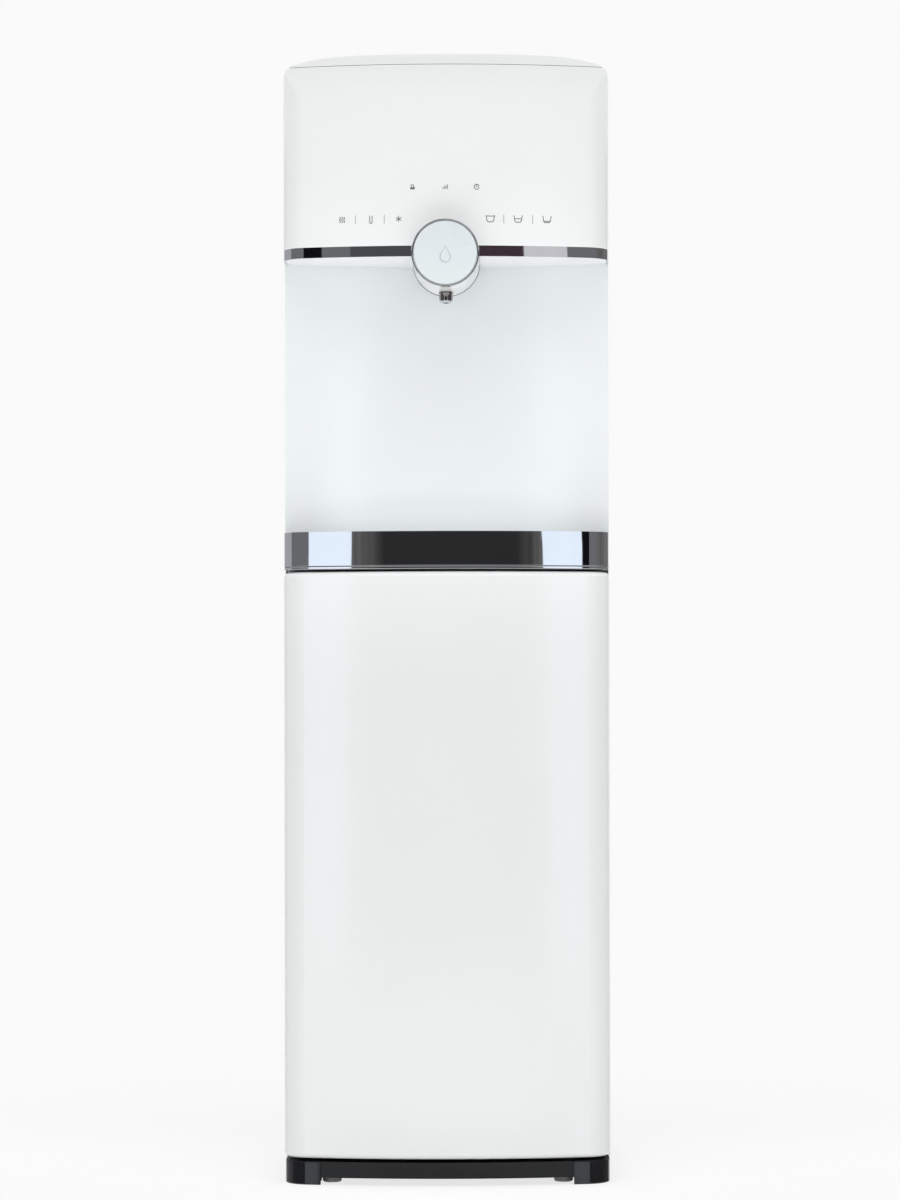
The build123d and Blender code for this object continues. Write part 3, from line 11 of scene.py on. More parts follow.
import bmesh
import bpy
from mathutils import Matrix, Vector


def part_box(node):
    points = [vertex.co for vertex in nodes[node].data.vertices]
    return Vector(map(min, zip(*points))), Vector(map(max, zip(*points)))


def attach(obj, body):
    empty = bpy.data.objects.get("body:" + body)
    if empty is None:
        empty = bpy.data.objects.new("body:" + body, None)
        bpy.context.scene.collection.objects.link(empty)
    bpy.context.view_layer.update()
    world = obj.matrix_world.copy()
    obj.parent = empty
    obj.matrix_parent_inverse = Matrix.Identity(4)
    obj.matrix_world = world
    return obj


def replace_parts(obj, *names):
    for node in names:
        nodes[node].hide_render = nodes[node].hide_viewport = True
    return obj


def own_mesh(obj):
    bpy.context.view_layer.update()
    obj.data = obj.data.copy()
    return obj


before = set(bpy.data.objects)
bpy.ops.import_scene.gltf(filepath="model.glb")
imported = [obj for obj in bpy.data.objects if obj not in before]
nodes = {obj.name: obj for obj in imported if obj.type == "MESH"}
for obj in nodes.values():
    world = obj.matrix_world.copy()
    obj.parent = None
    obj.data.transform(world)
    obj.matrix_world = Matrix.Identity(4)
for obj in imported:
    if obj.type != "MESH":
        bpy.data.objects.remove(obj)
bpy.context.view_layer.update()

# %% [markdown]
# ## Sizes that several parts share
# The cooler's plan is a bowed front between two straight sides. A part that is added to the front has
# to follow the same bow, so its radius is written once, and the places are read from the CAD boxes.

# %% Shared sizes
MM = 0.001
front_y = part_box("head_hood")[0].y
bow_radius = 620 * MM
bow_centre = front_y + bow_radius
corner_radius = 26 * MM
half_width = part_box("head_hood")[1].x
knob_low, knob_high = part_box("button_lens")
knob_z = (knob_low.z + knob_high.z) / 2
lens_y = knob_low.y
print("front at", round(front_y, 4), "knob centre at height", round(knob_z, 4))


def bow_y(x):
    """Depth of the bowed front at a distance x from the middle."""
    return bow_centre - sqrt(bow_radius**2 - x**2)


def plan_path(inset, back):
    """Points (x, y) along the front outline, from the left side's back round to the right side's."""
    middle = half_width - corner_radius
    lean = asin(middle / (bow_radius - corner_radius))
    corner_y = bow_centre - (bow_radius - corner_radius) * cos(lean)
    steps = 16
    half = [(half_width - inset, front_y + back)]
    for step in range(steps + 1):
        turn = pi / 2 + (lean - pi / 2) * step / steps
        half.append((middle + (corner_radius - inset) * sin(turn),
                     corner_y - (corner_radius - inset) * cos(turn)))
    for step in range(1, steps + 1):
        turn = lean - lean * step / steps
        half.append(((bow_radius - inset) * sin(turn), bow_centre - (bow_radius - inset) * cos(turn)))
    return [(-x, y) for x, y in half[:-1]] + half[::-1]


# %% [markdown]
# ## The camera
# The photograph was taken from well in front with a long lens, at two fifths of the cooler's height.
# Its upright edges come together a little towards the top, so the camera is tipped up by less than a
# degree, and the rest of the framing is a shift of the lens. It stands a little to the right of the
# middle and leans clockwise by a tenth of a degree.

# %% Camera
PHOTO_HEIGHT = 1200
camera_distance = 3.3125
focal_pixels = 3519
camera_data = bpy.data.cameras.new("photo_camera")
camera_data.sensor_fit = "VERTICAL"
camera_data.sensor_height = 36
camera_data.lens = 36 * focal_pixels / PHOTO_HEIGHT
camera_data.shift_x = -0.0462
camera_data.shift_y = 0.0747
camera = bpy.data.objects.new("photo_camera", camera_data)
camera.location = (0.0557, front_y - camera_distance, 0.4265)
camera.rotation_euler = (radians(90.7), 0, 0)
camera.rotation_euler.rotate_axis("Z", radians(-0.12))
bpy.context.scene.collection.objects.link(camera)
bpy.context.scene.camera = camera
print("lens", round(camera_data.lens, 1), "mm")

# %% [markdown]
# ## Colours and nodes
# A paint chart gives a colour as sRGB hex. Blender's sockets take linear light, so one function turns
# the first into the second. Another small function adds a shader node with its settings and links, so
# that each finish below reads as a short list of what it is made of. Most finishes are two close
# tones, a fine bump and a drift in gloss, and plain_finish makes those.


# %% Helpers for finishes
def paint(code):
    """An sRGB hex colour as linear RGBA."""
    parts = [int(code[place:place + 2], 16) / 255 for place in (0, 2, 4)]
    return tuple(c / 12.92 if c <= 0.04045 else ((c + 0.055) / 1.055)**2.4 for c in parts) + (1.0,)


def add_node(tree, kind, settings=None, inputs=None):
    """Add a node. Each input takes a value, an output socket to link, or a node for its first output."""
    node = tree.nodes.new(kind)
    for name, value in (settings or {}).items():
        setattr(node, name, value)
    for name, value in (inputs or {}).items():
        if isinstance(value, bpy.types.Node):
            value = value.outputs[0]
        if isinstance(value, bpy.types.NodeSocket):
            tree.links.new(value, node.inputs[name])
        else:
            node.inputs[name].default_value = value
    return node


def new_finish(name, **sockets):
    """A material with its Principled shader set; returns material, tree, shader and object position."""
    material = bpy.data.materials.new(name)
    material.use_nodes = True
    tree = material.node_tree
    shader = tree.nodes["Principled BSDF"]
    for socket, value in sockets.items():
        shader.inputs[socket.replace("_", " ")].default_value = value
    place = add_node(tree, "ShaderNodeTexCoord").outputs["Object"]
    return material, tree, shader, place


def skin(tree, shader, place, grain_mm, depth_mm, rough_low, rough_high, wear_mm=60):
    """Moulded or sprayed skin: fine bumps of a real size, and roughness that drifts with handling."""
    grain = add_node(tree, "ShaderNodeTexNoise", None, {
        "Vector": place, "Scale": 1000 / grain_mm, "Detail": 2.0})
    bump = add_node(tree, "ShaderNodeBump", None, {
        "Height": grain, "Distance": depth_mm * MM, "Strength": 0.6})
    drift = add_node(tree, "ShaderNodeTexNoise", None, {
        "Vector": place, "Scale": 1000 / wear_mm, "Detail": 4.0})
    rough = add_node(tree, "ShaderNodeMapRange", None, {
        "Value": drift, "From Min": 0.3, "From Max": 0.7,
        "To Min": rough_low, "To Max": rough_high})
    tree.links.new(bump.outputs["Normal"], shader.inputs["Normal"])
    tree.links.new(rough.outputs["Result"], shader.inputs["Roughness"])
    return drift.outputs["Fac"]


def two_tones(tree, shader, factor, first, second, low=0.3, high=0.7):
    """Base colour that moves between two sRGB tones as a pattern goes from low to high."""
    ramp = add_node(tree, "ShaderNodeValToRGB", None, {"Fac": factor})
    ramp.color_ramp.elements[0].position = low
    ramp.color_ramp.elements[0].color = paint(first)
    ramp.color_ramp.elements[1].position = high
    ramp.color_ramp.elements[1].color = paint(second)
    tree.links.new(ramp.outputs["Color"], shader.inputs["Base Color"])
    return ramp


def plain_finish(name, tones, bumps, rough, wear_mm=60, **sockets):
    """A finish of two close tones, bumps of a width and depth in mm, and a range of roughness."""
    material, tree, shader, place = new_finish(name, **sockets)
    two_tones(tree, shader, skin(tree, shader, place, *bumps, *rough, wear_mm), *tones)
    return material


# %% [markdown]
# ## White ABS
# The hood, door and tray are injection-moulded ABS from a polished tool. The eye sees a clean
# cool white with soft reflections, and a very slight waviness in them where the plastic shrank. The
# alcove's white is painted a shade greyer and cooler, as painted shade in its recess, and the cover
# under the head is painted nearly pure white, as painted light from below.

# %% White ABS
gloss_white = plain_finish(
    "gloss_white_abs", tones=("F3F5F5", "F4F6F6"), bumps=(28, 0.012), rough=(0.11, 0.15),
    wear_mm=90, IOR=1.53)
# Painted shade: the alcove's white is greyer and cooler for its recess.
painted_shade_white = plain_finish(
    "painted_shade_white_abs", tones=("E8ECED", "E9EDEE"), bumps=(28, 0.012), rough=(0.14, 0.18),
    wear_mm=90, IOR=1.53)
# Painted light: the cover under the head is whiter for the light from below.
painted_light_white = plain_finish(
    "painted_light_white_abs", tones=("F8F9F9", "F9FAFA"), bumps=(28, 0.012), rough=(0.14, 0.18),
    wear_mm=90, IOR=1.53)

# %% [markdown]
# ## Powder-coated steel
# The side panels are folded steel sheet with baked white powder paint. It is less glossy than the
# plastic and has orange peel, small bumps of 1 to 2 mm, which are drawn at 3 mm so that they show.

# %% Powder-coated steel
white_powder = plain_finish(
    "powder_coated_steel", tones=("F0F2F2", "F1F3F3"), bumps=(3, 0.02), rough=(0.34, 0.38), IOR=1.5)

# %% [markdown]
# ## Galvanised sheet
# The back and the decks are zinc-coated steel. Zinc freezes in flat crystals, the spangle, about
# 12 mm across, and each one reflects a little differently.

# %% Galvanised sheet
zinc_sheet, tree, shader, place = new_finish("galvanised_sheet", Metallic=1.0)
warp = add_node(tree, "ShaderNodeTexNoise", None, {"Vector": place, "Scale": 90.0, "Detail": 3.0})
bent = add_node(tree, "ShaderNodeVectorMath", {"operation": "MULTIPLY_ADD"})
tree.links.new(warp.outputs["Color"], bent.inputs[0])
bent.inputs[1].default_value = (0.006, 0.006, 0.006)
tree.links.new(place, bent.inputs[2])
spangle = add_node(tree, "ShaderNodeTexVoronoi", None, {"Vector": bent, "Scale": 1000 / 12})
tone = add_node(tree, "ShaderNodeSeparateColor", None, {"Color": spangle.outputs["Color"]})
two_tones(tree, shader, tone.outputs["Red"], "AFB4B7", "BFC4C6", 0.0, 1.0)
rough = add_node(tree, "ShaderNodeMapRange", None, {
    "Value": tone.outputs["Green"], "To Min": 0.34, "To Max": 0.52})
tree.links.new(rough.outputs["Result"], shader.inputs["Roughness"])

# %% [markdown]
# ## Chrome plating
# The band, the trim strip, the ring round the knob and the nozzle are chrome plated. It is a mirror, so
# nearly all of its look comes from the room: dark where it faces the unlit studio, white where it
# faces a lamp. Fine wiping marks and a slight smoky tint keep it from looking like glass. The nozzle's
# plating is painted darker, as painted shade under the head.

# %% Chrome plating
chrome = plain_finish(
    "chrome_plating", tones=("D6D8DC", "DADCE0"), bumps=(30, 0.006), rough=(0.015, 0.035),
    wear_mm=35, Metallic=1.0)
# Painted shade: a darker chrome for the nozzle's barrel under the head.
painted_shade_chrome = plain_finish(
    "painted_shade_chrome", tones=("8F8A88", "979290"), bumps=(30, 0.006), rough=(0.02, 0.05),
    wear_mm=12, Metallic=1.0)

# %% [markdown]
# ## Back-painted lens
# The push knob's face is a clear disc, painted pale blue-grey behind. Light passes the clear layer
# twice, so it is a smooth coat over a duller colour. That colour is a little deeper towards the top,
# which is painted shade.

# %% Back-painted lens
lens_finish, tree, shader, place = new_finish(
    "back_painted_lens", Coat_Weight=1.0, Coat_Roughness=0.03, IOR=1.5)
height = add_node(tree, "ShaderNodeSeparateXYZ", None, {"Vector": place})
fade = add_node(tree, "ShaderNodeMapRange", None, {
    "Value": height.outputs["Z"], "From Min": knob_low.z, "From Max": knob_high.z})
# Painted shade: the colour is a little deeper towards the top of the disc.
two_tones(tree, shader, fade, "E3EBED", "E0E8EB", 0.0, 1.0)
skin(tree, shader, place, grain_mm=1.2, depth_mm=0.004, rough_low=0.25, rough_high=0.32)

# %% [markdown]
# ## Black plastics
# The plinth, switches and boxes are black ABS from a spark-eroded tool: a fine dull grain, drawn at
# 1.2 mm. The corner shoes come from a polished tool and are almost like piano lacquer.

# %% Black plastics
black_grain = plain_finish(
    "grained_black_abs", tones=("0B0C0E", "121315"), bumps=(1.2, 0.05), rough=(0.42, 0.55), IOR=1.53)
black_polish = plain_finish(
    "polished_black_abs", tones=("0E0F11", "141517"), bumps=(25, 0.01), rough=(0.04, 0.07), IOR=1.53)

# %% [markdown]
# ## Grey plastics
# The drip grille, the filter head and the pipe fittings are grey engineering plastics, dull and
# slightly speckled where short glass fibres reach the surface.

# %% Grey plastics
dark_grey = plain_finish(
    "grey_polypropylene", tones=("7B7F82", "85898C"), bumps=(1.5, 0.04), rough=(0.4, 0.5), IOR=1.49)
light_grey = plain_finish(
    "glass_filled_nylon", tones=("A8ABAE", "B6B9BB"), bumps=(1.5, 0.05), rough=(0.45, 0.58),
    wear_mm=6, IOR=1.53)

# %% [markdown]
# ## Moulded foam
# The cold tank sits in expanded foam. Beads of 3 to 4 mm press flat against each other, which leaves a
# net of shallow dimples. The colour is darker along that net, which is painted shade in the dimples.

# %% Moulded foam
foam, tree, shader, place = new_finish("expanded_foam", Roughness=0.9, IOR=1.45)
beads = add_node(tree, "ShaderNodeTexVoronoi", {"feature": "DISTANCE_TO_EDGE"}, {
    "Vector": place, "Scale": 1000 / 3.5})
# Painted shade: the tone is darker along the seams between the beads.
two_tones(tree, shader, beads, "DAD8CE", "F1EFE6", 0.0, 0.12)
bump = add_node(tree, "ShaderNodeBump", None, {"Height": beads, "Distance": 0.0006})
tree.links.new(bump.outputs["Normal"], shader.inputs["Normal"])

# %% [markdown]
# ## Bare metals
# Stainless tanks are brushed round their girth, so the scratches are long and level. Copper pipe
# browns unevenly. Zinc-plated screws and springs keep a faint blue and yellow tint.

# %% Bare metals
stainless, tree, shader, place = new_finish("brushed_stainless", Metallic=1.0)
squeezed = add_node(tree, "ShaderNodeMapping", None, {"Vector": place, "Scale": (12, 12, 1400)})
lines = add_node(tree, "ShaderNodeTexNoise", None, {"Vector": squeezed, "Scale": 1.0, "Detail": 3.0})
two_tones(tree, shader, lines, "B9BBBC", "D2D3D3")
rough = add_node(tree, "ShaderNodeMapRange", None, {"Value": lines, "To Min": 0.22, "To Max": 0.42})
tree.links.new(rough.outputs["Result"], shader.inputs["Roughness"])
copper = plain_finish(
    "drawn_copper", tones=("A4603F", "C98763"), bumps=(4, 0.03), rough=(0.25, 0.42),
    wear_mm=14, Metallic=1.0)
zinc_plate = plain_finish(
    "zinc_plating", tones=("B9BEC6", "CFCDBE"), bumps=(3, 0.02), rough=(0.2, 0.34), wear_mm=5, Metallic=1.0)

# %% [markdown]
# ## Stove enamel and rubber
# The compressor and the condenser are dipped in black paint and baked. The film is semi-gloss and
# gathers in small runs and specks. The compressor's feet are dull rubber, and the same dark rubber
# paints the shade along the housing's rear edge.

# %% Stove enamel and rubber
enamel = plain_finish(
    "black_stove_enamel", tones=("161718", "222324"), bumps=(2.5, 0.05), rough=(0.22, 0.38),
    wear_mm=12, IOR=1.5)
rubber = plain_finish(
    "nitrile_rubber", tones=("191919", "262626"), bumps=(1.5, 0.06), rough=(0.7, 0.85), IOR=1.5)

# %% [markdown]
# ## Filter housings
# A cartridge is white polypropylene, welded shut. A printed colour band tells the three stages apart.
# The band follows height, so it is mixed in by the Z of the object's own coordinates.


# %% Filter housings
BAND_HEIGHT = 345 * MM
BAND_HALF_WIDTH = 12 * MM


def cartridge_finish(name, band_tone):
    """White polypropylene with one coloured band."""
    material, tree, shader, place = new_finish(name, IOR=1.49)
    drift = skin(tree, shader, place, grain_mm=2, depth_mm=0.04, rough_low=0.34, rough_high=0.44)
    ramp = two_tones(tree, shader, drift, "E9EBEB", "EFF1F1")
    height = add_node(tree, "ShaderNodeSeparateXYZ", None, {"Vector": place})
    band = add_node(tree, "ShaderNodeMath", {"operation": "COMPARE"}, {
        0: height.outputs["Z"], 1: BAND_HEIGHT, 2: BAND_HALF_WIDTH})
    mix = add_node(tree, "ShaderNodeMix", {"data_type": "RGBA"}, {0: band})
    tree.links.new(ramp.outputs["Color"], mix.inputs[6])
    mix.inputs[7].default_value = paint(band_tone)
    tree.links.new(mix.outputs[2], shader.inputs["Base Color"])
    return material


filters = {
    "filter_cartridge_sediment": cartridge_finish("white_pp_blue_band", "3E7CB4"),
    "filter_cartridge_carbon": cartridge_finish("white_pp_grey_band", "5D6468"),
    "filter_cartridge_membrane": cartridge_finish("white_pp_green_band", "4F9E77"),
}

# %% [markdown]
# ## Circuit boards and hoses
# A board is glass epoxy under green solder mask, with copper tracks that show as paler lines. Water
# hose is polyethylene, slightly milky, so a little light passes into it.

# %% Circuit boards and hoses
board, tree, shader, place = new_finish("solder_mask", IOR=1.55, Coat_Weight=0.4)
tracks = add_node(tree, "ShaderNodeTexVoronoi", {"distance": "MANHATTAN", "feature": "DISTANCE_TO_EDGE"},
                  {"Vector": place, "Scale": 1000 / 5})
two_tones(tree, shader, tracks, "2F7D4E", "14553A", 0.0, 0.1)
skin(tree, shader, place, grain_mm=1, depth_mm=0.02, rough_low=0.3, rough_high=0.4)
hose = plain_finish(
    "milky_polyethylene", tones=("DCE3E8", "E8EDF0"), bumps=(3, 0.02), rough=(0.28, 0.36),
    IOR=1.51, Subsurface_Weight=0.2, Subsurface_Radius=(0.003, 0.003, 0.003))

# %% [markdown]
# ## Switch rockers
# Polished polycarbonate: red for the heater and green for the chiller, the usual colours.

# %% Switch rockers
red_rocker = plain_finish(
    "red_polycarbonate", tones=("A3120F", "B81A15"), bumps=(4, 0.02), rough=(0.12, 0.2), IOR=1.58)
green_rocker = plain_finish(
    "green_polycarbonate", tones=("0C7A32", "118A3B"), bumps=(4, 0.02), rough=(0.12, 0.2), IOR=1.58)

# %% [markdown]
# ## Dress the CAD nodes
# The table says which finish each node gets. A CAD node keeps its shape, and only what its material
# slots hold is changed.

# %% Dress the CAD nodes
finishes = {
    gloss_white: ("tray_shelf", "drip_tray", "door_panel", "door_liner", "head_hood", "top_cover",
                  "dispenser_housing", "button_carrier"),
    painted_shade_white: ("alcove_panel",),
    painted_light_white: ("head_underside",),
    white_powder: ("side_panel_left", "side_panel_right", "bulkhead"),
    zinc_sheet: ("rear_panel", "rear_grille", "mid_deck", "tank_shelf", "hinge_brackets"),
    chrome: ("tray_band", "head_trim", "button_bezel", "nozzle"),
    lens_finish: ("button_lens",),
    black_grain: ("base_tray", "door_magnet", "dispense_valves", "control_box", "switch_bodies",
                  "mains_inlet", "drain_cap"),
    black_polish: ("corner_shoes",),
    dark_grey: ("drip_grille", "filter_manifold"),
    light_grey: ("levelling_foot_front_left", "levelling_foot_front_right", "levelling_foot_rear_left",
                 "levelling_foot_rear_right", "rear_fittings"),
    foam: ("cold_insulation",),
    stainless: ("cold_tank", "hot_tank"),
    copper: ("evaporator_coil", "refrigerant_lines", "filter_dryer"),
    zinc_plate: ("screws", "strike_plate", "button_spring"),
    enamel: ("compressor", "condenser_tube", "condenser_wires"),
    rubber: ("compressor_mounts",),
    board: ("touch_board", "button_sensor"),
    hose: ("water_hoses",),
    red_rocker: ("hot_switch",),
    green_rocker: ("cold_switch",),
}
for name, material in filters.items():
    finishes[material] = (name,)
for material, names in finishes.items():
    for name in names:
        for slot in nodes[name].material_slots:
            slot.material = material
dressed = {name for names in finishes.values() for name in names}
print("dressed", len(dressed), "left", sorted(set(nodes) - dressed))

# %% [markdown]
# ## Growing pieces with Geometry Nodes
# What repeats or follows a path is grown by a node tree. The tree holds the rule and a few named
# sizes, so one number changes every copy, where a pasted mesh would have to be edited by hand. Its
# outcome is kept as a plain mesh, because a finished piece carries no live tree.


# %% Helpers for grown pieces
def new_tree(name, sizes):
    """A Geometry Nodes tree with an input for each named size; returns it and its input sockets."""
    tree = bpy.data.node_groups.new(name, "GeometryNodeTree")
    tree.interface.new_socket("Geometry", in_out="INPUT", socket_type="NodeSocketGeometry")
    for size, value in sizes.items():
        kind = "NodeSocketInt" if isinstance(value, int) else "NodeSocketFloat"
        tree.interface.new_socket(size, in_out="INPUT", socket_type=kind)
    tree.interface.new_socket("Geometry", in_out="OUTPUT", socket_type="NodeSocketGeometry")
    return tree, tree.nodes.new("NodeGroupInput").outputs


def start_mesh(points, joined=False):
    """A mesh of points for a tree to start from, with an edge from each to the next if joined."""
    mesh = bpy.data.meshes.new("start")
    mesh.from_pydata(points, [(index, index + 1) for index in range(len(points) - 1)] if joined else [], [])
    return mesh


def stand(name, data):
    """Put a mesh or a lamp into the scene as an object."""
    piece = bpy.data.objects.new(name, data)
    bpy.context.scene.collection.objects.link(piece)
    return piece


def settle(name, mesh, body):
    """Give a mesh crisp shading and an object of its own that rides on a body."""
    mesh.name = name
    mesh.polygons.foreach_set("use_smooth", [True] * len(mesh.polygons))
    mesh.set_sharp_from_angle(angle=radians(40))
    piece = stand(name, mesh)
    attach(piece, body)
    print(name, len(mesh.polygons), "faces")
    return piece


def grow(name, tree, result, material, start, sizes, body):
    """End the tree, run it on a start mesh with these sizes, and keep the outcome as a piece."""
    whole = add_node(tree, "GeometryNodeRealizeInstances", None, {"Geometry": result})
    coated = add_node(tree, "GeometryNodeSetMaterial", None, {"Geometry": whole, "Material": material})
    add_node(tree, "NodeGroupOutput", None, {"Geometry": coated})
    carrier = stand("carrier", start)
    modifier = carrier.modifiers.new("grow", "NODES")
    modifier.node_group = tree
    for socket in tree.interface.items_tree:
        if socket.name in sizes:
            modifier[socket.identifier] = sizes[socket.name]
    grown = carrier.evaluated_get(bpy.context.evaluated_depsgraph_get())
    mesh = bpy.data.meshes.new_from_object(grown)
    bpy.data.objects.remove(carrier)
    return settle(name, mesh, body)


def swept_bar(tree, path, height, thickness, rounding, level):
    """Nodes for a bar with rounded edges, swept along a level path at a height."""
    section = add_node(tree, "GeometryNodeCurvePrimitiveQuadrilateral", None, {
        "Width": thickness, "Height": height})
    rounded = add_node(tree, "GeometryNodeFilletCurve", {"mode": "POLY"}, {
        "Curve": section, "Radius": rounding, "Count": 6})
    raised = add_node(tree, "ShaderNodeCombineXYZ", None, {"Z": level})
    line = add_node(tree, "GeometryNodeMeshToCurve", None, {"Mesh": path})
    placed = add_node(tree, "GeometryNodeSetPosition", None, {"Geometry": line, "Offset": raised})
    bar = add_node(tree, "GeometryNodeCurveToMesh", None, {
        "Curve": placed, "Profile Curve": rounded, "Fill Caps": True})
    return bar.outputs["Mesh"]


# %% [markdown]
# ## The chrome band
# The band round the tray is one bent strip with rolled edges and a thin lip below them. Its rounded
# edges catch the light that a sharp CAD edge can't. It follows the plan of the front, so a rounded
# section is swept along that path, once for the face and once for the lip. A strip of black plastic
# fills the groove between the two as painted shade in the groove.

# %% The chrome band
band_low, band_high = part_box("tray_band")
band_wall = 3 * MM
lip_height = 2.2 * MM
groove = 0.6 * MM
path = [(x, y, 0) for x, y in plan_path(band_wall / 2, band_high.y - front_y)]
face_height = band_high.z - band_low.z - lip_height - groove
sizes = {"Thickness": band_wall, "Face height": face_height, "Face level": band_high.z - face_height / 2,
         "Lip height": lip_height, "Lip level": band_low.z + lip_height / 2, "Edge": 0.4 * MM}
tree, given = new_tree("rolled_band", sizes)
face, lip = (swept_bar(tree, given["Geometry"], given[part + " height"], given["Thickness"], given["Edge"],
                       given[part + " level"]) for part in ("Face", "Lip"))
both = add_node(tree, "GeometryNodeJoinGeometry", None, {"Geometry": face})
tree.links.new(lip, both.inputs["Geometry"])
band = grow("chrome_band", tree, both, chrome, start_mesh(path, joined=True), sizes, "tray")
level_normals = band.modifiers.new("level_normals", "WEIGHTED_NORMAL")
level_normals.keep_sharp = True
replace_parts(band, "tray_band")

# Painted shade: a black strip in the groove between the face and the lip.
sizes = {"Thickness": band_wall - 2 * groove, "Height": 4 * groove, "Level": band_low.z + lip_height,
         "Edge": 0.1 * MM}
tree, given = new_tree("groove_shade_strip", sizes)
groove_shade = swept_bar(tree, given["Geometry"], given["Height"], given["Thickness"], given["Edge"], given["Level"])
grow("groove_shade_strip", tree, groove_shade, black_grain, start_mesh(path, joined=True), sizes, "tray")

# %% [markdown]
# ## The nozzle
# A nozzle is turned and plated, with a rolled rim in plain chrome pressed into its lower end. The
# barrel's plating is painted dark, as painted shade under the head. Turning is easiest as a section
# in radius and height, spun round the nozzle's own axis.


# %% The nozzle
def turned(name, section, centre, material, body):
    """Spin a closed section of (radius, height) round an upright axis."""
    shape = bmesh.new()
    ring = [shape.verts.new((centre.x + radius, centre.y, height)) for radius, height in section]
    edges = [shape.edges.new((ring[index - 1], ring[index])) for index in range(len(ring))]
    bmesh.ops.spin(shape, geom=ring + edges, cent=(centre.x, centre.y, 0), axis=(0, 0, 1),
                   angle=2 * pi, steps=48)
    bmesh.ops.remove_doubles(shape, verts=shape.verts, dist=1e-6)
    bmesh.ops.recalc_face_normals(shape, faces=shape.faces)
    mesh = bpy.data.meshes.new(name)
    shape.to_mesh(mesh)
    shape.free()
    mesh.materials.append(material)
    return settle(name, mesh, body)


nozzle_low, nozzle_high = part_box("nozzle")
nozzle_axis = (nozzle_low + nozzle_high) / 2
collar = nozzle_high.x
barrel = collar - 0.5 * MM
bore = 3.5 * MM
collar_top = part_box("dispenser_housing")[0].z - 0.1 * MM
rim = 2.4 * MM
neck = 4.9 * MM
section = [(bore, nozzle_high.z), (neck, nozzle_high.z), (neck, collar_top), (collar - 0.4 * MM, collar_top),
           (collar, collar_top - 0.4 * MM), (collar, collar_top - 1.5 * MM), (barrel, collar_top - 2.1 * MM),
           (barrel, nozzle_low.z + rim), (bore, nozzle_low.z + rim)]
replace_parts(turned("turned_nozzle", section, nozzle_axis, painted_shade_chrome, "cabinet"), "nozzle")
section = [(bore, nozzle_low.z + rim)]
for step in range(9):
    turn = pi / 2 * step / 8
    section.append((barrel - rim + rim * cos(turn), nozzle_low.z + rim - rim * sin(turn)))
section.append((bore, nozzle_low.z + 0.4 * MM))
turned("nozzle_rim", section, nozzle_axis, chrome, "cabinet")

# %% [markdown]
# ## The shade at the housing's rear edge
# Under the head the round housing's rear edge is drawn as a thin dark ring of painted shade, for the
# gap behind it. It is a round bead that follows the housing's edge from the head's underside down
# and up again.

# %% The shade at the housing's rear edge
housing_low, housing_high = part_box("dispenser_housing")
housing_radius = knob_z - housing_low.z
bead = 0.8 * MM
reach = housing_radius - bead / 2
under = asin((knob_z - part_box("head_underside")[0].z) / reach)
path = []
for step in range(49):
    turn = pi + under + (pi - 2 * under) * step / 48
    path.append((reach * cos(turn), housing_high.y - bead, knob_z + reach * sin(turn)))
sizes = {"Bead": bead}
tree, given = new_tree("round_bead", sizes)
line = add_node(tree, "GeometryNodeMeshToCurve", None, {"Mesh": given["Geometry"]})
section = add_node(tree, "GeometryNodeCurvePrimitiveCircle", None, {
    "Resolution": 12, "Radius": given["Bead"]})
bead_mesh = add_node(tree, "GeometryNodeCurveToMesh", None, {
    "Curve": line, "Profile Curve": section, "Fill Caps": True})
# Painted shade: a dark bead where the housing's rear edge meets the gap behind it.
grow("housing_edge_shade_bead", tree, bead_mesh, rubber, start_mesh(path, joined=True), sizes, "cabinet")

# %% [markdown]
# ## The return spring
# A compression spring pushes the knob back out. Its end turns lie wire to wire, so that it stands
# flat, and the turns between are open. The tree bends a spiral: every turn rises by at least the
# wire's own thickness, and the middle turns share out the rest of the length.

# %% The return spring
spring_low, spring_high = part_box("button_spring")
spring_length = spring_high.y - spring_low.y
sizes = {"Turns": 7.0, "Coil radius": 8.5 * MM, "Wire radius": 0.45 * MM, "Length": spring_length}
tree, given = new_tree("coil_spring", sizes)
wire_width = add_node(tree, "ShaderNodeMath", {"operation": "MULTIPLY"}, {0: given["Wire radius"], 1: 2.0})
closed_length = add_node(tree, "ShaderNodeMath", {"operation": "MULTIPLY"}, {
    0: wire_width, 1: given["Turns"]})
rise = add_node(tree, "ShaderNodeMath", {"operation": "SUBTRACT"}, {0: given["Length"], 1: wire_width})
gaps = add_node(tree, "ShaderNodeMath", {"operation": "SUBTRACT"}, {0: rise, 1: closed_length})
spiral = add_node(tree, "GeometryNodeCurveSpiral", None, {
    "Resolution": 48, "Rotations": given["Turns"], "Start Radius": given["Coil radius"],
    "End Radius": given["Coil radius"], "Height": closed_length})
share = add_node(tree, "GeometryNodeSplineParameter")
end_turn = add_node(tree, "ShaderNodeMath", {"operation": "DIVIDE"}, {0: 1.0, 1: given["Turns"]})
last_turn = add_node(tree, "ShaderNodeMath", {"operation": "SUBTRACT"}, {0: 1.0, 1: end_turn})
opened = add_node(tree, "ShaderNodeMapRange", None, {
    "Value": share, "From Min": end_turn,
    "From Max": last_turn, "To Max": gaps})
stretch = add_node(tree, "ShaderNodeCombineXYZ", None, {"Z": opened})
stretched = add_node(tree, "GeometryNodeSetPosition", None, {"Geometry": spiral, "Offset": stretch})
round_wire = add_node(tree, "GeometryNodeCurvePrimitiveCircle", None, {
    "Resolution": 12, "Radius": given["Wire radius"]})
coil = add_node(tree, "GeometryNodeCurveToMesh", None, {
    "Curve": stretched, "Profile Curve": round_wire, "Fill Caps": True})
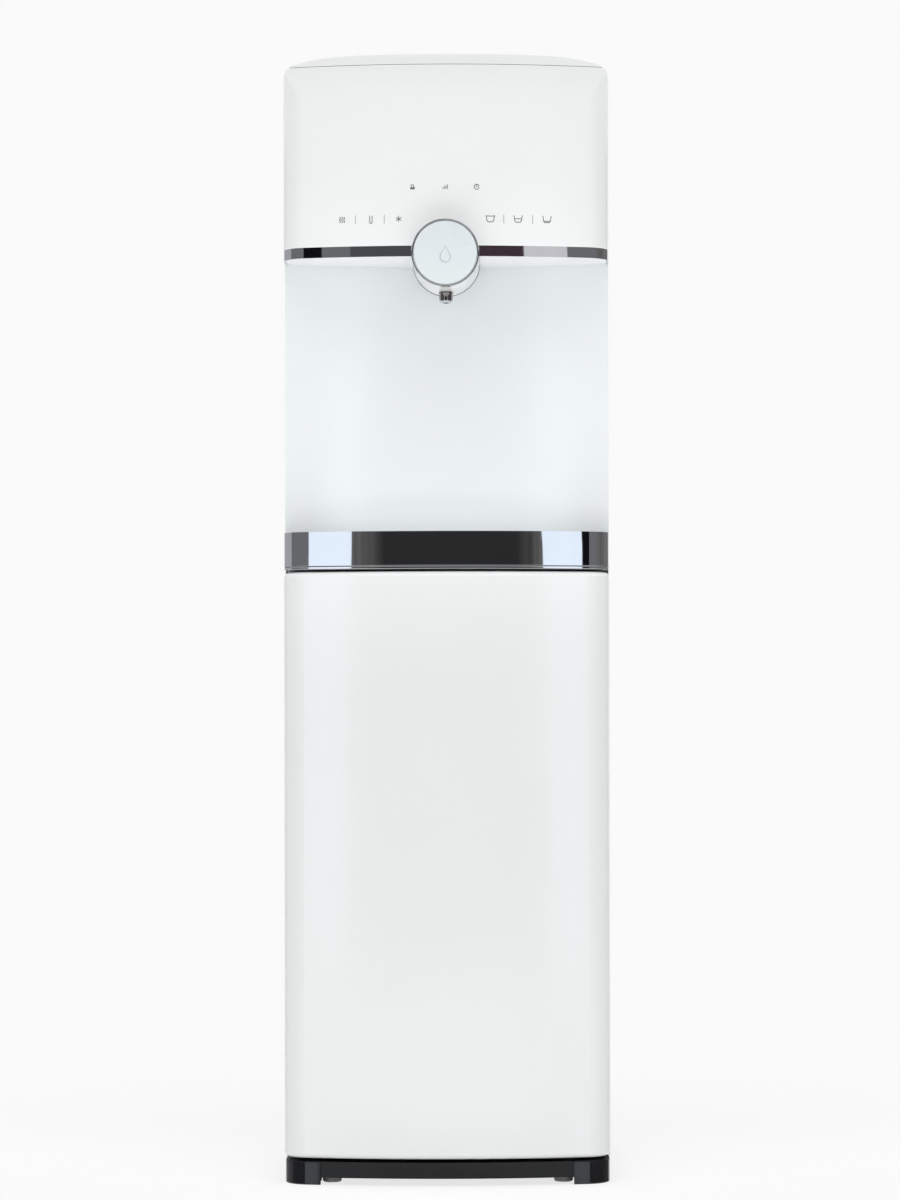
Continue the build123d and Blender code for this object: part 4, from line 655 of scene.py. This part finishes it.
spring_foot = add_node(tree, "ShaderNodeCombineXYZ", None, {
    "Y": spring_low.y, "Z": (spring_low.z + spring_high.z) / 2})
first_wire = add_node(tree, "ShaderNodeCombineXYZ", None, {"Y": given["Wire radius"]})
seat = add_node(tree, "ShaderNodeVectorMath", {"operation": "ADD"}, {0: spring_foot, 1: first_wire})
laid = add_node(tree, "GeometryNodeTransform", None, {
    "Geometry": coil, "Rotation": (-pi / 2, 0, 0), "Translation": seat})
spring = grow("return_spring", tree, laid, zinc_plate, start_mesh([]), sizes, "cabinet")
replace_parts(spring, "button_spring")
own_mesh(spring)

# %% [markdown]
# ## Screws with a cross recess
# Twelve pan-head screws hold the back. Each is a low dome with a cross cut into it, and all of them
# are copies of one screw on points, each turned as the screwdriver left it.

# %% Screws
screw_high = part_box("screws")[1]
panel_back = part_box("rear_panel")[1].y
head_radius = 3.6 * MM
screw_x = screw_high.x - head_radius
screw_heights = (46, 172, 230, 420, 610, 800)
spots = start_mesh([(side * screw_x, panel_back, z * MM) for side in (-1, 1) for z in screw_heights])
sizes = {"Head radius": head_radius, "Head height": screw_high.y - panel_back, "Recess length": 4.2 * MM,
         "Recess width": 0.9 * MM, "Seed": 7}
tree, given = new_tree("cross_screw", sizes)
dome = add_node(tree, "GeometryNodeMeshUVSphere", None, {"Segments": 28, "Rings": 12, "Radius": 1.0})
scale = add_node(tree, "ShaderNodeCombineXYZ", None, {
    "X": given["Head radius"], "Y": given["Head radius"], "Z": given["Head height"]})
head = add_node(tree, "GeometryNodeTransform", None, {"Geometry": dome, "Scale": scale})
top = add_node(tree, "ShaderNodeCombineXYZ", None, {"Z": given["Head height"]})
cut = add_node(tree, "GeometryNodeMeshBoolean", {"operation": "DIFFERENCE"}, {"Mesh 1": head})
for first, second in (("Recess length", "Recess width"), ("Recess width", "Recess length")):
    bar_size = add_node(tree, "ShaderNodeCombineXYZ", None, {
        "X": given[first], "Y": given[second], "Z": given["Head height"]})
    bar = add_node(tree, "GeometryNodeMeshCube", None, {"Size": bar_size})
    lifted = add_node(tree, "GeometryNodeTransform", None, {"Geometry": bar, "Translation": top})
    tree.links.new(lifted.outputs["Geometry"], cut.inputs["Mesh 2"])
copies = add_node(tree, "GeometryNodeInstanceOnPoints", None, {
    "Points": given["Geometry"], "Instance": cut, "Rotation": (-pi / 2, 0, 0)})
chance = add_node(tree, "FunctionNodeRandomValue", None, {"Max": pi / 2, "Seed": given["Seed"]})
spin = add_node(tree, "ShaderNodeCombineXYZ", None, {"Z": chance.outputs[1]})
turned_copies = add_node(tree, "GeometryNodeRotateInstances", None, {
    "Instances": copies, "Rotation": spin, "Local Space": True})
screws = grow("cross_screws", tree, turned_copies, zinc_plate, spots, sizes, "cabinet")
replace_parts(screws, "screws")

# %% [markdown]
# ## Condenser wires
# The back carries a wire-on-tube condenser: rows of thin steel wire welded to both sides of the tube.
# One wire is repeated along a line, and that row stands once in front of the tube and once behind it.

# %% Condenser wires
grid_low, grid_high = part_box("condenser_wires")
wire = 0.8 * MM
tube_radius = 2.4 * MM
outer_y = grid_high.y - wire
middle = (grid_low.z + grid_high.z) / 2
layers = start_mesh([(0, outer_y, middle), (0, outer_y - 2 * (tube_radius + wire), middle)])
count = 37
sizes = {"Count": count, "Pitch": (grid_high.x - grid_low.x - 2 * wire) / (count - 1), "Wire radius": wire,
         "Length": grid_high.z - grid_low.z}
tree, given = new_tree("wire_grid", sizes)
step = add_node(tree, "ShaderNodeCombineXYZ", None, {"X": given["Pitch"]})
half = add_node(tree, "ShaderNodeMath", {"operation": "MULTIPLY"}, {0: given["Pitch"], 1: (1 - count) / 2})
start = add_node(tree, "ShaderNodeCombineXYZ", None, {"X": half})
row = add_node(tree, "GeometryNodeMeshLine", None, {
    "Count": given["Count"], "Offset": step, "Start Location": start})
rod = add_node(tree, "GeometryNodeMeshCylinder", None, {
    "Vertices": 8, "Radius": given["Wire radius"], "Depth": given["Length"]})
one_row = add_node(tree, "GeometryNodeInstanceOnPoints", None, {"Points": row, "Instance": rod})
rows = add_node(tree, "GeometryNodeInstanceOnPoints", None, {
    "Points": given["Geometry"], "Instance": one_row})
grid = grow("condenser_grid", tree, rows, enamel, layers, sizes, "cabinet")
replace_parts(grid, "condenser_wires")

# %% [markdown]
# ## Clips of the condenser
# A clip is a strip of sheet with a step folded into it, from the back out to the grid. One is drawn
# along its fold line and copied to the four corners.

# %% Clips of the condenser
clip_sheet = 1.2 * MM
inner_y = outer_y - 2 * (tube_radius + wire) - wire
clip_x = grid_high.x - 13 * MM
clip_half = 10 * MM
fold = [(panel_back, -clip_half), (panel_back, 0), (inner_y, 2 * MM), (inner_y, clip_half)]
line = [(0, y, z) for y, z in fold]
clip_rows = (grid_low.z + clip_half + 1 * MM, grid_high.z - clip_half - 1 * MM)
corners = start_mesh([(side * clip_x, 0, z) for side in (-1, 1) for z in clip_rows])
sizes = {"Sheet": clip_sheet, "Width": 12 * MM, "Bend": 2 * MM}
tree, given = new_tree("folded_clip", sizes)
bends = [add_node(tree, "GeometryNodeCurvePrimitiveLine", None, {"Start": start, "End": end})
         for start, end in zip(line, line[1:])]
joined = add_node(tree, "GeometryNodeJoinGeometry")
for bend in reversed(bends):
    tree.links.new(bend.outputs["Curve"], joined.inputs["Geometry"])
mesh_line = add_node(tree, "GeometryNodeCurveToMesh", None, {"Curve": joined})
merged = add_node(tree, "GeometryNodeMergeByDistance", None, {"Geometry": mesh_line, "Distance": 1e-5})
whole_line = add_node(tree, "GeometryNodeMeshToCurve", None, {"Mesh": merged})
soft_line = add_node(tree, "GeometryNodeFilletCurve", {"mode": "POLY"}, {
    "Curve": whole_line, "Radius": given["Bend"], "Count": 5, "Limit Radius": True})
section = add_node(tree, "GeometryNodeCurvePrimitiveQuadrilateral", None, {
    "Width": given["Width"], "Height": given["Sheet"]})
clip = add_node(tree, "GeometryNodeCurveToMesh", None, {
    "Curve": soft_line, "Profile Curve": section, "Fill Caps": True})
clips = add_node(tree, "GeometryNodeInstanceOnPoints", None, {
    "Points": given["Geometry"], "Instance": clip})
grow("condenser_clips", tree, clips, zinc_sheet, corners, sizes, "cabinet")

# %% [markdown]
# ## The inlet's blades
# The mains inlet holds three plated blades. A small rounded section is drawn out from the socket's
# floor to just past the CAD blade's tip, so that metal shows where the moulding was black.

# %% The inlet's blades
inlet_low, inlet_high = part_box("mains_inlet")
inlet = (inlet_low + inlet_high) / 2
blade_tip = inlet_high.y - 4.9 * MM
blade_places = ((-7, -2), (7, -2), (0, 2))
blades = start_mesh([(inlet.x + x * MM, blade_tip, inlet.z + z * MM) for x, z in blade_places])
sizes = {"Blade width": 2.1 * MM, "Blade height": 4.1 * MM, "Blade length": 10 * MM, "Edge": 0.5 * MM}
tree, given = new_tree("inlet_blade", sizes)
section = add_node(tree, "GeometryNodeCurvePrimitiveQuadrilateral", None, {
    "Width": given["Blade width"], "Height": given["Blade height"]})
rounded = add_node(tree, "GeometryNodeFilletCurve", {"mode": "POLY"}, {
    "Curve": section, "Radius": given["Edge"], "Count": 4})
back = add_node(tree, "ShaderNodeMath", {"operation": "MULTIPLY"}, {0: given["Blade length"], 1: -1.0})
foot = add_node(tree, "ShaderNodeCombineXYZ", None, {"Y": back})
draw = add_node(tree, "GeometryNodeCurvePrimitiveLine", None, {"Start": (0, 0, 0), "End": foot})
blade = add_node(tree, "GeometryNodeCurveToMesh", None, {
    "Curve": draw, "Profile Curve": rounded, "Fill Caps": True})
three = add_node(tree, "GeometryNodeInstanceOnPoints", None, {
    "Points": given["Geometry"], "Instance": blade})
grow("inlet_blades", tree, three, zinc_plate, blades, sizes, "cabinet")

# %% [markdown]
# ## Printed signs
# The touch keys are only printed signs on the hood. Each is drawn from strokes in millimetres, like a
# pen would, and laid on the bowed front a few hundredths of a millimetre proud, which is the
# thickness of the ink.


# %% Pen strokes to a thin print
def print_ink(name, strokes, width, tone, lay):
    """Flat ribbons along strokes of (x, z) points in mm; lay puts a point on the surface."""
    shape = bmesh.new()
    for stroke in strokes:
        for (x0, z0), (x1, z1) in zip(stroke, stroke[1:]):
            length = sqrt((x1 - x0)**2 + (z1 - z0)**2)
            along = ((x1 - x0) / length * width / 2, (z1 - z0) / length * width / 2)
            corners = []
            for x, z, turn in ((x0, z0, pi / 2), (x1, z1, -pi / 2)):
                for step in range(5):
                    angle = turn + pi * step / 4
                    corners.append((x + cos(angle) * along[0] - sin(angle) * along[1],
                                    z + cos(angle) * along[1] + sin(angle) * along[0]))
            shape.faces.new([shape.verts.new(lay(x * MM, z * MM)) for x, z in corners])
    mesh = bpy.data.meshes.new(name)
    shape.to_mesh(mesh)
    shape.free()
    piece = stand(name, mesh)
    darker = "%02X%02X%02X" % tuple(max(int(tone[i:i + 2], 16) - 6, 0) for i in (0, 2, 4))
    mesh.materials.append(plain_finish(
        name + "_ink", tones=(darker, tone), bumps=(0.8, 0.01), rough=(0.4, 0.5), wear_mm=3, IOR=1.48))
    return piece


def arc(x, z, radius, start, end, steps=8):
    """Points along part of a circle, in degrees."""
    turns = [radians(start + (end - start) * step / steps) for step in range(steps + 1)]
    return [(x + radius * cos(turn), z + radius * sin(turn)) for turn in turns]


def on_hood(x, z):
    """A point on the hood's front, an ink film's thickness proud of it."""
    return (x, bow_y(x) - 0.04 * MM, z)


def sign(x, z, *strokes):
    """Strokes drawn about a sign's own middle, moved to the place of the sign."""
    return [[(x + across, z + up) for across, up in stroke] for stroke in strokes]


# %% [markdown]
# ## The signs on the hood
# Three signs stand in the upper row: a padlock, rising bars and a clock. The lower row has steam, a
# thermometer and a snowflake at the left, and three cups from full to nearly empty at the right.

# %% The signs on the hood
upper, lower = 941.4, 911.3
signs = sign(-31.0, upper, arc(0, 0.9, 1.2, 0, 180), [(-1.2, 0.9), (-1.2, -0.4)], [(1.2, 0.9), (1.2, -0.4)],
             *([(-1.8, -level), (1.8, -level)] for level in (0.6, 1.3, 2.0)))
bars = ((-2.2, -0.6), (-0.8, 0.4), (0.6, 1.2), (2.0, 2.0))
signs += sign(0.0, upper, *([(x, -1.9), (x, top)] for x, top in bars))
signs += sign(29.6, upper, arc(0, 0, 2.4, 20, 340, 14), [(0, 1.3), (0, 0), (1.2, 0)])
signs += sign(-97.8, lower, *([(side + 0.5 * sin(step * 1.25), 0.65 * step - 2.6) for step in range(9)]
                              for side in (-2.0, 0.0, 2.0)))
signs += sign(-70.5, lower, [(-1.0, 3.0), (-1.0, -2.8)], [(1.2, 3.0), (1.2, -2.8)],
              arc(0.1, -2.6, 1.2, 180, 360, 6))
arms = [(2.7 * cos(radians(turn)), 2.7 * sin(radians(turn))) for turn in (30, 90, 150)]
signs += sign(-44.1, lower, *([(x, z), (-x, -z)] for x, z in arms))
cup = [(-3.9, 3.2), (-3.2, -1.6), (-2.0, -3.0), (2.0, -3.0), (3.2, -1.6), (3.9, 3.2)]
for x, water in ((42.4, 2.5), (68.6, 0.2), (95.9, -1.7)):
    signs += sign(x, lower, cup, [(-3.3, water), (3.3, water)])
hood_signs = print_ink("hood_signs", signs, 0.75, "63676B", on_hood)
dividers = [[(x, lower - 3.8), (x, lower + 3.8)] for x in (-85.1, -57.8, 55.1, 82.4)]
hood_dividers = print_ink("hood_dividers", dividers, 0.7, "A9ADB0", on_hood)
for piece in (hood_signs, hood_dividers):
    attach(piece, "cabinet")
print("signs:", len(signs), "strokes")

# %% [markdown]
# ## The drop on the knob
# A drop outline is printed behind the clear disc. Two straight shoulders meet at the top and a circle
# closes the bottom.

# %% The drop on the knob
drop_radius = 4.9
centre = knob_z / MM - 4.4
drop = arc(0, centre, drop_radius, 150, 390, 24)
drop = [(0, centre + 10.2), *drop, (0, centre + 10.2)]


def on_lens(x, z):
    """A point on the disc's face."""
    return (x, lens_y - 0.03 * MM, z)


drop_sign = print_ink("drop_sign", [drop], 0.6, "BCC7CB", on_lens)
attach(drop_sign, "push_button")

# %% [markdown]
# ## The marks on the switches
# A rocker switch carries a stroke for on and a ring for off. Its face is two planes that meet in a
# shallow valley, and the whole rocker leans about its pivot, so the marks are laid on those planes.

# %% The marks on the switches
rocker_lean = radians(8)
valley, slope = 4.2, 1.4 / 7.8
pivot_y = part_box("switch_bodies")[1].y - 6 * MM


def on_rocker(centre):
    """A function that lays a mark on the face of the rocker with this centre."""
    def lay(x, z):
        out = (valley + 0.03) * MM + slope * abs(z)
        return (centre.x - x, pivot_y + out * cos(rocker_lean) - z * sin(rocker_lean),
                centre.z + out * sin(rocker_lean) + z * cos(rocker_lean))
    return lay


switch_z = (inlet_low.z + inlet_high.z) / 2
for node, body in (("hot_switch", "hot_rocker"), ("cold_switch", "cold_rocker")):
    low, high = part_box(node)
    centre = Vector(((low.x + high.x) / 2, 0, switch_z))
    marks = [[(0, 3.2), (0, 5.6)], arc(0, -4.4, 1.3, 0, 360, 20)]
    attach(print_ink(node + "_marks", marks, 0.5, "F2F2F2", on_rocker(centre)), body)

# %% [markdown]
# ## The room
# The floor and the world are pale. A wide soft box hangs overhead in front, weaker ones stand at the
# four corners, and one lies on the floor. Three small cards throw light up under the head and, from
# the edge of the tray, at the foot of the alcove. Together they leave nearly no shadow in it. For the
# camera the floor is a duller paint that shines by itself, which gives it the white of the background
# and keeps a faint shadow of the cooler. Further out it fades into the background, so that no horizon
# shows.

# %% Floor, world and lamps
PALE = "FAFAFA"


def panel(name, corners, faces, material):
    """A flat or bent sheet of studio equipment."""
    mesh = bpy.data.meshes.new(name)
    mesh.from_pydata(corners, [], faces)
    mesh.materials.append(material)
    piece = stand(name, mesh)
    return piece


floor_finish, tree, shader, place = new_finish(
    "painted_floor", Roughness=1.0, Specular_IOR_Level=0, Emission_Color=(1, 1, 1, 1))
rays = add_node(tree, "ShaderNodeLightPath")
tint = add_node(tree, "ShaderNodeMix", {"data_type": "RGBA"}, {0: rays.outputs["Is Camera Ray"]})
tint.inputs[6].default_value = paint("F7F7F7")
tint.inputs[7].default_value = paint("8C8C8C")
tree.links.new(tint.outputs[2], shader.inputs["Base Color"])
own_light = add_node(tree, "ShaderNodeMath", {"operation": "MULTIPLY"}, {
    0: rays.outputs["Is Camera Ray"], 1: 0.75})
tree.links.new(own_light.outputs["Value"], shader.inputs["Emission Strength"])
reach = add_node(tree, "ShaderNodeVectorMath", {"operation": "LENGTH"}, {0: place})
far = add_node(tree, "ShaderNodeMapRange", {"interpolation_type": "SMOOTHSTEP"}, {
    "Value": reach.outputs["Value"], "From Min": 0.4, "From Max": 1.2})
fade = add_node(tree, "ShaderNodeMath", {"operation": "MULTIPLY"}, {
    0: far, 1: rays.outputs["Is Camera Ray"]})
plain = add_node(tree, "ShaderNodeEmission", None, {"Color": paint(PALE)})
blend = add_node(tree, "ShaderNodeMixShader", None, {0: fade, 1: shader, 2: plain})
tree.links.new(blend.outputs["Shader"], tree.nodes["Material Output"].inputs["Surface"])
floor_corners = [(-20, -20, 0), (20, -20, 0), (20, 20, 0), (-20, 20, 0)]
floor = panel("floor", floor_corners, [(0, 1, 2, 3)], floor_finish)
floor.visible_glossy = False

world = bpy.data.worlds.new("pale_room")
world.use_nodes = True
bpy.context.scene.world = world
tree = world.node_tree
tree.nodes["Background"].inputs["Color"].default_value = (1, 1, 1, 1)
tree.nodes["Background"].inputs["Strength"].default_value = 0.42
seen = add_node(tree, "ShaderNodeBackground", None, {"Color": paint(PALE), "Strength": 1.0})
rays = add_node(tree, "ShaderNodeLightPath")
either = add_node(tree, "ShaderNodeMath", {"operation": "MAXIMUM"}, {
    0: rays.outputs["Is Camera Ray"], 1: rays.outputs["Is Glossy Ray"]})
any_ray = add_node(tree, "ShaderNodeMath", {"operation": "MAXIMUM"}, {
    0: either, 1: rays.outputs["Is Transmission Ray"]})
mix = add_node(tree, "ShaderNodeMixShader", None, {0: any_ray})
tree.links.new(tree.nodes["Background"].outputs["Background"], mix.inputs[1])
tree.links.new(seen.outputs["Background"], mix.inputs[2])
tree.links.new(mix.outputs["Shader"], tree.nodes["World Output"].inputs["Surface"])


def lamp(name, kind, energy, location, target, **settings):
    """A lamp that lights surfaces but isn't seen itself, in the picture or in reflections."""
    data = bpy.data.lights.new(name, kind)
    data.energy = energy
    for setting, value in settings.items():
        setattr(data, setting, value)
    light = stand(name, data)
    light.location = location
    light.rotation_euler = (Vector(target) - Vector(location)).to_track_quat("-Z", "Y").to_euler()
    light.visible_camera = False
    light.visible_glossy = False
    light.visible_transmission = False


lamp("overhead_softbox", "SUN", 1.06, (0, -1.0, 1.75), (0, 0, 0), angle=radians(60))
for side in (-1, 1):
    lamp("side_softbox", "SUN", 0.3, (0.64 * side, -0.77, 0.1), (0, 0, 0), angle=radians(40))
    lamp("rear_softbox", "SUN", 0.6, (0.85 * side, 0.5, 0.15), (0, 0, 0), angle=radians(40))
bounce_y = front_y - 0.15
for name, watts, location, target, size in (
        ("floor_softbox", 2.3, (0, -1.3, 0.03), (0, 0, 0.8), (1.6, 0.3)),
        ("bounce_card", 0.27, (0, bounce_y, 0.6), (0, bounce_y, 1.0), (0.5, 0.15)),
        ("front_card", 0.165, (0, front_y - 0.2, 0.64), (0, -0.1, 0.95), (0.5, 0.06)),
        ("tray_card", 0.023, (0, front_y + 0.015, 0.64), (0, -0.08, 0.605), (0.2, 0.012))):
    lamp(name, "AREA", watts, location, target, shape="RECTANGLE", size=size[0], size_y=size[1])

# %% [markdown]
# ## What the chrome reflects
# Chrome shows the studio and not itself. Two tall soft boxes stand in front at either side, and the
# space between them, behind the camera, is dark. The cards below stand in for that: each is given by
# rows of a height and two compass turns, in degrees from straight ahead and + to the right. They are
# seen only in reflections, so they neither light nor shade the cooler. The floor close to the cooler
# is left out of the reflections, so that the plinth and its shoes stay dark, and a pale sheet further
# out shines back from the foot of the door. The charcoal cloth hangs in folds, and they catch light
# near the soft boxes, from 0.72 m to 1.12 m off the middle.


# %% Soft boxes and dark walls
CARD_DISTANCE = 3.0
CARD_TOP = 1.45


def glow(name, tone, strength=1.0):
    """A studio surface that shines evenly; returns what new_finish does."""
    return new_finish(name, Base_Color=(0, 0, 0, 1), Specular_IOR_Level=0,
                      Emission_Color=paint(tone), Emission_Strength=strength)


def only_reflected(card):
    """Hide a card from all but reflections."""
    card.visible_camera = False
    card.visible_diffuse = False
    card.visible_shadow = False
    card.visible_transmission = False


def reflected_card(name, material, *rows):
    """A bent upright card round the cooler; each row is a height and the turns of its two ends."""
    steps = 8
    corners = []
    for height, turn_from, turn_to in rows:
        for step in range(steps + 1):
            turn = radians(turn_from + (turn_to - turn_from) * step / steps)
            corners.append((CARD_DISTANCE * sin(turn), front_y - CARD_DISTANCE * cos(turn), height))
    faces = []
    for row in range(len(rows) - 1):
        for step in range(steps):
            first = row * (steps + 1) + step
            faces.append((first, first + 1, first + steps + 2, first + steps + 1))
    only_reflected(panel(name, corners, faces, material))


charcoal, tree, shader, place = glow("charcoal_cloth", "323232")
along = add_node(tree, "ShaderNodeSeparateXYZ", None, {"Vector": place})
side = add_node(tree, "ShaderNodeMath", {"operation": "ABSOLUTE"}, {0: along.outputs["X"]})
near_box = add_node(tree, "ShaderNodeMapRange", None, {"Value": side, "From Min": 0.72, "From Max": 1.12})
pulled = add_node(tree, "ShaderNodeMapping", None, {"Vector": place, "Scale": (14, 0.2, 0.2)})
folds = add_node(tree, "ShaderNodeTexNoise", None, {"Vector": pulled, "Scale": 1.0, "Detail": 1.0})
streak = add_node(tree, "ShaderNodeMath", {"operation": "MULTIPLY"}, {0: near_box, 1: folds})
cloth_tones = add_node(tree, "ShaderNodeValToRGB", None, {"Fac": streak})
cloth_tones.color_ramp.elements[0].color = paint("323232")
cloth_tones.color_ramp.elements[1].color = paint("9A9896")
tree.links.new(cloth_tones.outputs["Color"], shader.inputs["Emission Color"])
softbox = glow("softbox_cloth", "E6EFFA", 1.4)[0]
dark_grey_cloth = glow("dark_grey_cloth", "545458")[0]
plum = glow("plum_cloth", "48383F")[0]
mid_grey = glow("grey_wall", "78797B")[0]
pale_grey = glow("pale_wall", "B4B5B7")[0]
near_black = glow("black_gap", "141214")[0]
dimmed_cloth = glow("dimmed_cloth", "E2E0E2")[0]
shine = glow("shining_floor", "F2F2F2", 0.95)[0]
reflected_card("softbox_right_top", dimmed_cloth, (1.15, 16.4, 25.3), (1.29, 15.4, 24.5),
               (CARD_TOP, 14.9, 24))
reflected_card("softbox_left", softbox, (-0.8, -38, -29), (-0.3, -36, -28), (0.0, -30.5, -22.3),
               (0.76, -29.9, -20.7), (1.15, -29.7, -20.3))
reflected_card("softbox_right", softbox, (-0.8, 26.5, 30), (-0.3, 25.5, 29.5), (0.0, 21.3, 28.3),
               (0.76, 19.2, 27.6), (1.15, 16.4, 25.3))
reflected_card("cloth_low", charcoal, (-0.8, -29, 26.5), (-0.3, -28, 25.5), (0.0, -22.3, 21.3),
               (0.76, -20.7, 19.2), (1.0, -20.5, 17.5))
reflected_card("cloth_high_left", dark_grey_cloth, (1.0, -20.5, -3), (1.29, -20.9, -3),
               (CARD_TOP, -20.9, -3))
reflected_card("cloth_high_right", plum, (1.0, -3, 17.5), (1.29, -3, 15.4), (CARD_TOP, -3, 14.9))
reflected_card("wall_over_left_box", mid_grey, (1.15, -26.9, -20.3), (1.29, -26.9, -20.9),
               (CARD_TOP, -26.9, -20.9))
reflected_card("gap_over_left_box", near_black, (1.15, -31, -26.9), (CARD_TOP, -31, -26.9))
reflected_card("wall_left", mid_grey, (-0.8, -90, -38), (-0.3, -90, -36), (0.0, -90, -30.5),
               (0.76, -90, -29.9), (1.15, -90, -29.7), (1.16, -90, -31), (CARD_TOP, -90, -31))
reflected_card("wall_far_left", pale_grey, (-0.8, -150, -90), (CARD_TOP, -150, -90))
reflected_card("gap_right", near_black, (-0.8, 30, 36), (-0.3, 29.5, 35), (0.0, 28.3, 33), (0.76, 27.6, 33),
               (1.1, 25.8, 31))
reflected_card("wall_right", mid_grey, (-0.8, 36, 66), (0.0, 33, 66), (1.1, 31, 66), (1.11, 25.5, 66),
               (1.29, 24.5, 66), (CARD_TOP, 24, 66))
reflected_card("wall_far_right", charcoal, (-0.8, 66, 140), (CARD_TOP, 66, 140))
near_y, far_y, above_floor = front_y - 0.45, front_y - 2.9, 2 * MM
sheet = [(-1.5, near_y, above_floor), (1.5, near_y, above_floor),
         (1.5, far_y, above_floor), (-1.5, far_y, above_floor)]
only_reflected(panel("floor_shine", sheet, [(0, 1, 2, 3)], shine))
bpy.context.scene.view_settings.view_transform = "Standard"
